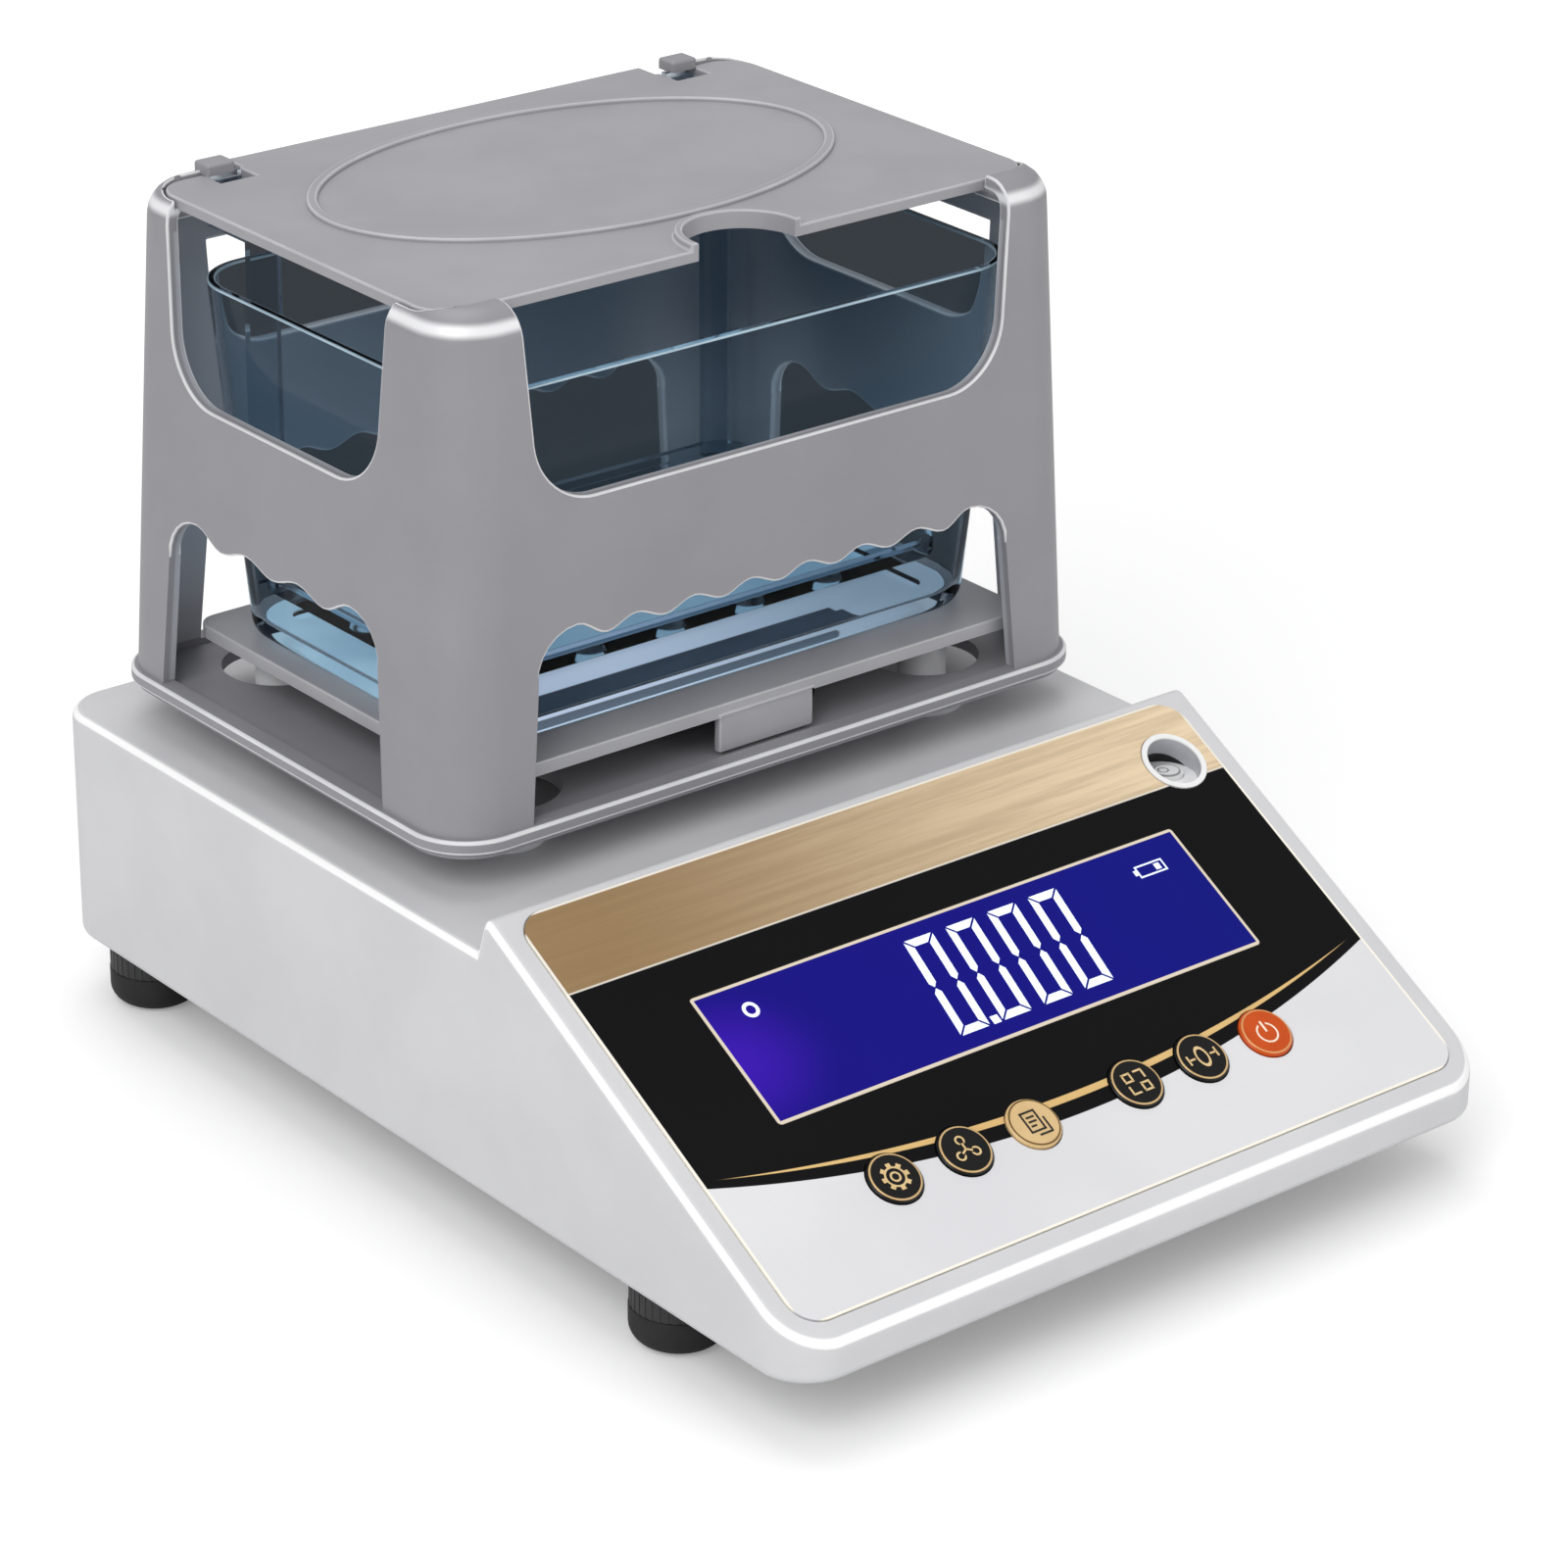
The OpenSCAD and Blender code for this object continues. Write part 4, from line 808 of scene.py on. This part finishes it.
lid = {"y": 56.9, "low": 193.2, "high": 195.7, "half": (80.25, 52.25), "corner": 8.0,
       "oval": (65.0, 41.0, 7.4), "ringWidth": 2.4, "ringHigh": 1.0, "notch": (-51.25, 13.0, 14.8, 1.6),
       "tongue": (57.0, 58.55), "slot": (62.5, 4.6, 45.15)}


def ovalDisc(name, a, b, y, low, high):
    turns = [around(turn) for turn in range(0, 360, 3)]
    return addOutline(name, [(a * cos, y + b * sin) for cos, sin in turns], low, high, upright=False)


def makeLid():
    low, high = lid["low"], lid["high"]
    halfX, halfY = lid["half"]
    plate = addBlock("lid", (-halfX, -halfY, low), (halfX, halfY, high), lid["corner"], 10)
    tongueX, tongueEnd = lid["tongue"]
    tongue = addBox("tongue", (-tongueX, 0, low), (tongueX, tongueEnd, high))
    notchY, notch, lip, lipHigh = lid["notch"]
    collar = addRod("collar", 0, notchY, lip, low, high + lipHigh, 64)
    carve(plate, tongue, collar, how="UNION")
    cutter = addRod("notch", 0, notchY, notch, low - 1, high + 5, 64)
    front = addBox("front", (-halfX, -halfY - 30, low - 1), (halfX, -halfY, high + 5))
    slotX, slotHalf, slotY = lid["slot"]
    slots = [addBox("slot", (x - slotHalf, slotY, low - 1), (x + slotHalf, 70, high + 1))
             for x in (-slotX, slotX)]
    carve(plate, cutter, front, merge(*slots))
    addSlots(plate, 2)
    # the rounded edges take slot 1, a painted highlight
    roundSharp(plate, 0.45, steps=2, angle=40, keep=above(low + 1), finish=1)
    a, b, y = lid["oval"]
    width = lid["ringWidth"]
    ring = ovalDisc("ring", a, b, y, high - 0.3, high + lid["ringHigh"])
    carve(ring, ovalDisc("inner", a - width, b - width, y, high - 2, high + 3))
    addSlots(ring, 2)
    # the ring's rounded top takes slot 1, a painted highlight
    roundSharp(ring, 0.5, steps=3, angle=40, keep=above(high + 0.5), finish=1)
    carve(plate, ring, how="UNION")
    return soften(shift(plate, y=lid["y"]))


# the fixed platform on its pillars, with a tab down from the middle of its front edge

platform = {"half": 76.0, "front": -3.5, "back": 105.5, "low": 91.7, "high": 95.0, "corner": 5.0,
            "tab": (13.0, 2.0, 83.6)}


def makePlatform():
    half, front, low = platform["half"], platform["front"], platform["low"]
    shelf = addBlock("platform", (-half, front, low), (half, platform["back"], platform["high"]),
                     platform["corner"], 8)
    tabHalf, thick, tabLow = platform["tab"]
    carve(shelf, addBox("tab", (-tabHalf, front, tabLow), (tabHalf, front + thick, low + 0.8)), how="UNION")
    addSlots(shelf, 2)
    # the rounded edges take slot 1, a painted highlight
    roundSharp(shelf, 0.4, steps=2, angle=50, finish=1)
    return soften(shelf)


# the smoked tank and the clear basket that hangs in it

tank = {"y": 52.5, "low": 95.0, "high": 177.0, "foot": (71.5, 46.5), "rim": (77.0, 52.0), "corner": 15.0,
        "wall": 2.0, "floor": 3.4, "pocket": (61.5, 36.5, 1.2)}


def bowlBox(name, foot, rim, low, high, corner, edge):
    box = taperedBox(name, foot, rim, low, high, corner, 12)
    return roundEdges(box, below(low + 0.01), edge, 5)


def makeTank():
    wall = tank["wall"]
    (footX, footY), (rimX, rimY) = tank["foot"], tank["rim"]
    body = bowlBox("tank", tank["foot"], tank["rim"], tank["low"], tank["high"], tank["corner"], 3.5)
    pocketX, pocketY, deep = tank["pocket"]
    ground = tank["low"] + tank["floor"]
    inside = bowlBox("inside", (footX - wall + 0.2, footY - wall + 0.2), (rimX - wall, rimY - wall),
                     ground, tank["high"] + 0.5, tank["corner"] - wall, 2.5)
    pocket = addBlock("pocket", (-pocketX, -pocketY, ground - deep), (pocketX, pocketY, ground + 1), 3, 5)
    carve(body, inside, pocket)
    addSlots(body, 3)
    # the rounded rim takes slot 2, a painted highlight
    roundEdges(body, above(tank["high"] - 0.01), 0.45, 2, finish=2)
    return soften(shift(body, y=tank["y"]))


basket = {"tray": (67.0, 40.0), "y": 54.5, "low": 105.4, "high": 109.4, "thick": 2.0, "corner": 9.0,
          "hole": 4.0, "grid": (6, 4), "armX": 62.5, "armHalf": 4.0, "armBack": 94.5, "step": 186.1,
          "riseY": 108.0, "riseHigh": 195.9}


def makeBasket():
    x, y = basket["tray"]
    low, high, thick = basket["low"], basket["high"], basket["thick"]
    tray = addBlock("basket", (-x, -y, low), (x, y, high), basket["corner"], 10)
    inside = addBlock("inside", (thick - x, thick - y, low + thick), (x - thick, y - thick, high + 1),
                      basket["corner"] - thick, 8)
    columns, rows = basket["grid"]
    holes = [addRod("hole", i * 2 * x / columns, j * 2 * y / rows, basket["hole"], low - 1, high + 1, 32)
             for i in range(-2, 3) for j in (-1, 0, 1)]
    carve(tray, inside, merge(*holes))
    roundSharp(tray, 0.3, steps=2, angle=50)
    shift(tray, y=basket["y"])
    back, step, riseY = basket["armBack"], basket["step"], basket["riseY"]
    arms = []
    for side in (-1, 1):
        left, right = side * basket["armX"] - basket["armHalf"], side * basket["armX"] + basket["armHalf"]
        down = addBox("arm", (left, back - thick, low), (right, back, step))
        over = addBox("over", (left, back - thick, step - thick), (right, riseY + 1, step))
        rise = addBox("rise", (left, riseY - 1, step - thick), (right, riseY + 1, basket["riseHigh"]))
        carve(down, over, rise, how="UNION")
        roundSharp(down, 0.4, steps=2, angle=50)
        arms.append(down)
    return soften(merge(tray, *arms))


hook = {"x": 63.7, "half": 3.6, "front": -1.2, "back": 4.4, "low": 195.72, "high": 198.3, "round": 0.7}


def makeHooks():
    # the two small blocks that hang the basket on the plate
    made = []
    for x in (-hook["x"], hook["x"]):
        y, half = basket["riseY"], hook["half"]
        block = addBox("hooks", (x - half, y + hook["front"], hook["low"]),
                       (x + half, y + hook["back"], hook["high"]))
        made.append(roundEdges(block, lambda a, b: min(a.z, b.z) > hook["low"] + 0.08 or upright(a, b),
                               hook["round"], 3))
    return soften(merge(*made))


# the four feet: a rubber pad with a rounded sole and the wheel that screws it in and out

foot = {"x": 84.0, "front": -80.0, "rear": 115.0, "radius": 10.5, "pad": 8.5, "wheel": (8.5, 13.5),
        "stud": (3.0, 26.4), "grip": 72}


def makePad():
    pad = addRod("pad", 0, 0, foot["radius"], 0, foot["pad"], 64)
    roundEdges(pad, below(0.01), 4.2, 7)
    roundEdges(pad, above(foot["pad"] - 0.01), 0.35, 2)
    return soften(pad, 40)


def makeWheel():
    low, high = foot["wheel"]
    wheel = addRod("wheel", 0, 0, foot["radius"] - 0.15, low + 0.05, high, foot["grip"])
    # every other flank face goes in a little, which makes the grip
    pick(wheel, "FACE", lambda middle, normal: abs(normal.z) < 0.5 and
         round(math.degrees(math.atan2(middle.y, middle.x)) * foot["grip"] / 360 - 0.5) % 2 == 0)
    bpy.ops.mesh.inset(thickness=0.06 * mm, depth=-0.12 * mm, use_individual=True)
    edit(False)
    studRadius, studHigh = foot["stud"]
    stud = addRod("stud", 0, 0, studRadius, high - 1, studHigh, 32)
    roundEdges(stud, above(studHigh - 0.4), 0.4, 2)
    return soften(merge(wheel, stud), 40)


# what the display shows: digits, a ring and a battery sign, all of them thin plates on the window

figures = {"z": (0.2, 0.26), "top": 38.2, "bottom": 63.5, "pitch": 11.6, "left": -15.4, "wide": 8.0,
           "lean": 2.5, "bar": 1.9, "gap": 0.35, "dot": (-6.3, -63.6, -4.3, -61.6),
           "ring": (-55.7, -41.0, 1.55, 0.42), "battery": (
               (51.3, -43.2, 59.2, -42.8), (51.3, -40.4, 59.2, -40.0), (51.3, -43.2, 51.7, -40.0),
               (58.8, -43.2, 59.2, -40.0), (50.4, -42.3, 51.3, -40.9), (56.4, -42.4, 57.9, -40.8))}


def makeDigit():
    # six bars with slanting ends, upright at first and then leaned over
    high = figures["bottom"] - figures["top"]
    wide, bar, gap = figures["wide"], figures["bar"], figures["gap"]
    half = high / 2
    flat = [(gap, 0), (wide - gap, 0), (wide - gap - bar, bar), (gap + bar, bar)]
    lower = [(0, gap), (bar, gap + bar), (bar, half - gap - bar / 2), (bar / 2, half - gap / 2),
             (0, half - gap - bar / 2)]
    bars = [flat, [(x, high - y) for x, y in flat]]
    for flip in (False, True):
        for turn in (False, True):
            bars.append([(wide - x if flip else x, high - y if turn else y) for x, y in lower])
    low, top = figures["z"]
    made = []
    for points in bars:
        leaned = [(x + figures["lean"] * y / high, y - figures["bottom"]) for x, y in points]
        made.append(addOutline("digit", leaned, low, top, upright=False))
    return merge(*made)


def makeFigures():
    first = makeDigit()
    digits = [shift(copyOf(first, "digit"), x=figures["left"] + i * figures["pitch"]) for i in range(4)]
    bpy.data.objects.remove(first, do_unlink=True)
    low, top = figures["z"]
    x, y, radius, thick = figures["ring"]
    ring = addRing("ring", x, y, top, radius, thick, 0.3)
    plates = [addBox("plate", (x1, y1, low), (x2, y2, top))
              for x1, y1, x2, y2 in (figures["dot"], *figures["battery"])]
    return named(layOnPanel(merge(*digits, ring, *plates)), "figures")


# the sign on each key, drawn with thin bars and rings just above its top

sign = {"z": (1.1, 1.17), "line": 0.42, "size": 1.1,
        "finish": {"key_enter": ("key_gold", blackLine), "key_power": ("key_orange", whiteLine)}}


def addBar(x, y, length, turn=0, width=None):
    low, high = sign["z"]
    half = (width or sign["line"]) / 2
    bar = addBox("bar", (-length / 2, -half, low), (length / 2, half, high))
    return shift(bar, x=x, y=y, turn=turn)


def addLoop(x, y, radius, stretch=1.0, opening=None):
    loop = addRing("loop", 0, 0, 0, radius, sign["line"] / 2, 0.3, 40, 8)
    if opening:
        # a wedge of the loop is taken out, centred on the direction given
        gap = shift(addBox("gap", (0, -opening[1], -1), (radius * 2, opening[1], 1)), turn=opening[0])
        carve(loop, gap)
    loop.scale = (1, stretch, 1)
    loop.location = (x * mm, y * mm, (sign["z"][0] + 0.01) * mm)
    settle(loop)
    return loop


def addFrameOf(x, y, width, height):
    half = sign["line"] / 2
    sides = [addBar(x, y + way * (height / 2 - half), width) for way in (1, -1)]
    return sides + [addBar(x + way * (width / 2 - half), y, height - 0.4, 90) for way in (-1, 1)]


def makeSigns():
    gear = [addLoop(0, 0, 2.1), addLoop(0, 0, 0.95)]
    for turn in range(0, 360, 45):
        x, y = around(turn)
        gear.append(addBar(2.65 * x, 2.65 * y, 0.8, turn, 1.0))
    curls = []
    for turn in (90, 210, 330):
        x, y = around(turn)
        curls.append(addLoop(2.1 * x, 2.1 * y, 0.85, 1.0, (turn + 180, 0.5)))
        curls.append(addBar(0.7 * x, 0.7 * y, 1.4, turn))
    page = addFrameOf(-0.3, 0.3, 3.7, 4.8)
    page += [addBar(-0.3, 1.3, 1.9), addBar(-0.3, 0.3, 1.9), addBar(-0.6, -0.7, 1.3)]
    page += [addBar(0.9, -2.9, 3.2), addBar(2.4, -1.2, 3.4, 90)]
    pair = addFrameOf(-1.5, 1.4, 2.2, 2.2) + addFrameOf(1.5, -1.4, 2.2, 2.2)
    for way in (1, -1):
        pair += [addBar(way * 1.5, way * 2.3, 2.0), addBar(way * 2.4, way * 1.4, 2.0, 90)]
    zero = [addLoop(0, 0, 1.25, 1.7)]
    for side in (-1, 1):
        zero += [addBar(side * 2.7, 0, 1.6), addBar(side * 3.5, 0, 2.2, 90)]
    power = [addLoop(0, -0.3, 2.2, 1.0, (90, 0.9)), addBar(0, 1.2, 2.6, 90, 0.5)]
    signs = {"key_settings": gear, "key_function": curls, "key_enter": page, "key_mode": pair,
             "key_zero": zero, "key_power": power}
    for key, parts in signs.items():
        drawn = named(merge(*parts), key.replace("key", "sign"))
        drawn.scale = (sign["size"], sign["size"], 1)
        shift(drawn, x=keys["x"][key], y=-keys["s"])
        layOnPanel(drawn)
        slot, finish = sign["finish"].get(key, ("key_black", goldLine))
        dress(drawn, finish)
        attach(drawn, key)


def place(piece, body, finish, *hidden):
    # the finish goes on, the piece moves with its body and stands for the CAD nodes named
    if finish:
        dress(piece, *(finish if isinstance(finish, tuple) else (finish,)))
    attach(piece, body)
    if hidden:
        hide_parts(*hidden)
    print(piece.name, "made,", len(piece.data.polygons), "faces")
    return piece


for name, obj in nodes.items():
    dress(obj, finishOf(name))
dress(nodes["panel_overlay"], makePrint())
dress(nodes["display_lens"], makeLens())
# light tone, dark tone and ring of the keys that aren't black and gold
keyTones = {"key_enter": ((220, 190, 140), (202, 170, 118), (120, 92, 52)),
            "key_power": ((206, 84, 22), (184, 66, 12), (222, 160, 104))}
for name in keys["x"]:
    dress(nodes[name], makeKey(name, *keyTones.get(name, ((16, 15, 15), (10, 9, 9), (214, 180, 128)))))
dress(nodes["level_bezel"], makeCup())
dress(nodes["level_vial"], makeVial())
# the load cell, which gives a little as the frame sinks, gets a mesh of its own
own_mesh(nodes["load_cell"])

place(makeHousing(), "base", makeHousingPaint(), "base_shell")
place(makeCage(), "frame", (makeCageFinish(), frameEdgeHighlight), "weighing_frame")
place(makeLid(), "plate", (platePlastic, plateEdgeHighlight), "top_plate")
place(makePlatform(), "base", (plain["platform_grey"], plateEdgeHighlight), "tank_platform")

smoke = clearFinish("tank_smoke", tone(218, 230, 238), tone(210, 224, 233))
smoked = place(makeTank(), "tank", (smoke, makeTankFloor(), rimHighlight), "water_tank")
# the faces of the tank's floor, inside, get its own finish
pick(smoked, "FACE", lambda middle, normal: normal.z > 0.9 and middle.z < tank["low"] + 4 and
     abs(middle.x) < 68 and abs(middle.y - tank["y"]) < 43)
smoked.active_material_index = 1
bpy.ops.object.material_slot_assign()
edit(False)

clear = clearFinish("basket_clear", tone(226, 234, 240), tone(216, 226, 234))
place(makeBasket(), "basket", clear, "water_basket")
place(makeHooks(), "basket", framePlastic)

pad, wheel = makePad(), makeWheel()
for end in ("front", "rear"):
    for side, x in (("left", -foot["x"]), ("right", foot["x"])):
        corner = end + "_" + side
        place(shift(copyOf(pad, "sole_" + corner), x=x, y=foot[end]), "pad_" + corner,
              plain["foot_rubber"], "foot_pad_" + corner)
        place(shift(copyOf(wheel, "wheel_" + corner), x=x, y=foot[end]), "screw_" + corner,
              plain["wheel_black"], "foot_screw_" + corner)
for first in (pad, wheel):
    bpy.data.objects.remove(first, do_unlink=True)

place(makeFigures(), "base", figureFinish)
makeSigns()
print("all pieces ready")


# camera, light and backdrop

view = {"place": (-0.651946, -0.80084, 0.544567), "lens": 119.117,
        "right": (0.774944, -0.631931, 0.011167), "up": (0.25535, 0.329204, 0.909077),
        "back": (-0.57815, -0.701633, 0.416478)}


def makeCamera():
    hold(None)
    bpy.ops.object.camera_add(location=view["place"])
    camera = bpy.context.object
    camera.name = "photo_view"
    camera.data.lens = view["lens"]
    camera.data.sensor_width = 36
    camera.data.clip_start, camera.data.clip_end = 0.05, 20
    turn = Matrix((view["right"], view["up"], view["back"])).transposed()
    camera.rotation_euler = turn.to_euler()
    bpy.context.scene.camera = camera


lamps = {
    "key": {"place": (-1.15, -0.6, 1.2), "size": 1.1, "power": 14},
    "fill": {"place": (0.75, -1.35, 0.55), "size": 1.1, "power": 4.5},
    "top": {"place": (0.1, 0.5, 1.7), "size": 1.2, "power": 8},
}


def makeLamps():
    for name, lamp in lamps.items():
        hold(None)
        bpy.ops.object.light_add(type="AREA", location=lamp["place"])
        obj = bpy.context.object
        obj.name = "lamp_" + name
        obj.data.size = lamp["size"]
        obj.data.energy = lamp["power"]
        obj.visible_camera = False
        away = Vector(lamp["place"]) - Vector((0, 0, 0.09))
        obj.rotation_euler = away.to_track_quat("Z", "Y").to_euler()


backdrop = {"size": 6, "floor": (0.86, 0.86, 0.86, 1), "behind": (0.012, 0.014, 0.02, 1), "soft": 0.55,
            "near": (300, 0.2), "far": (1300, 0.5)}


def makeBackdrop():
    hold(None)
    bpy.ops.mesh.primitive_plane_add(size=backdrop["size"], location=(0, 0, -0.2 * mm))
    floor = bpy.context.object
    floor.name = "floor"
    sheet = Sheet("floor_white")
    # painted shade: the floor is near-black where it is seen through the clear parts
    through = sheet.node("ShaderNodeLightPath", output="Is Transmission Ray")
    seen = sheet.node("ShaderNodeLightPath", output="Is Camera Ray")
    x, y = sheet.axis("X"), sheet.axis("Y")
    # the far parts are out of the lamps' reach, so they are raised to the same white
    (near, little), (far, more) = backdrop["near"], backdrop["far"]
    lift = seen * (little + lengthOf(x, y).rise(near, far) * more)
    sheet.fill(baseColor=sheet.mix(through, backdrop["floor"], backdrop["behind"]), roughness=0.6,
               emissionColor=sheet.mix(lift, (0, 0, 0, 1), (1, 1, 1, 1)), emissionStrength=1)
    dress(floor, sheet)
    # white to the camera, softer as a light, and a painted shade, dark, behind whatever is seen through the
    # clear parts
    world = bpy.context.scene.world = bpy.data.worlds.new("studio")
    sky = Sheet("studio", world)

    def glow(colour, strength=1):
        return sky.node("ShaderNodeBackground", {}, {"Color": colour, "Strength": strength})

    def choice(ray, other, chosen):
        path = sky.node("ShaderNodeLightPath", output=ray)
        return sky.node("ShaderNodeMixShader", {}, {0: path, 1: other, 2: chosen})
    white = (1, 1, 1, 1)
    bySight = choice("Is Camera Ray", glow(white, backdrop["soft"]), glow(white))
    byGlass = choice("Is Transmission Ray", bySight, glow(backdrop["behind"]))
    sky.feed(sky.tree.nodes["World Output"].inputs["Surface"], byGlass)


makeCamera()
makeLamps()
makeBackdrop()
bpy.context.scene.view_settings.view_transform = "Standard"
print("camera and light ready")
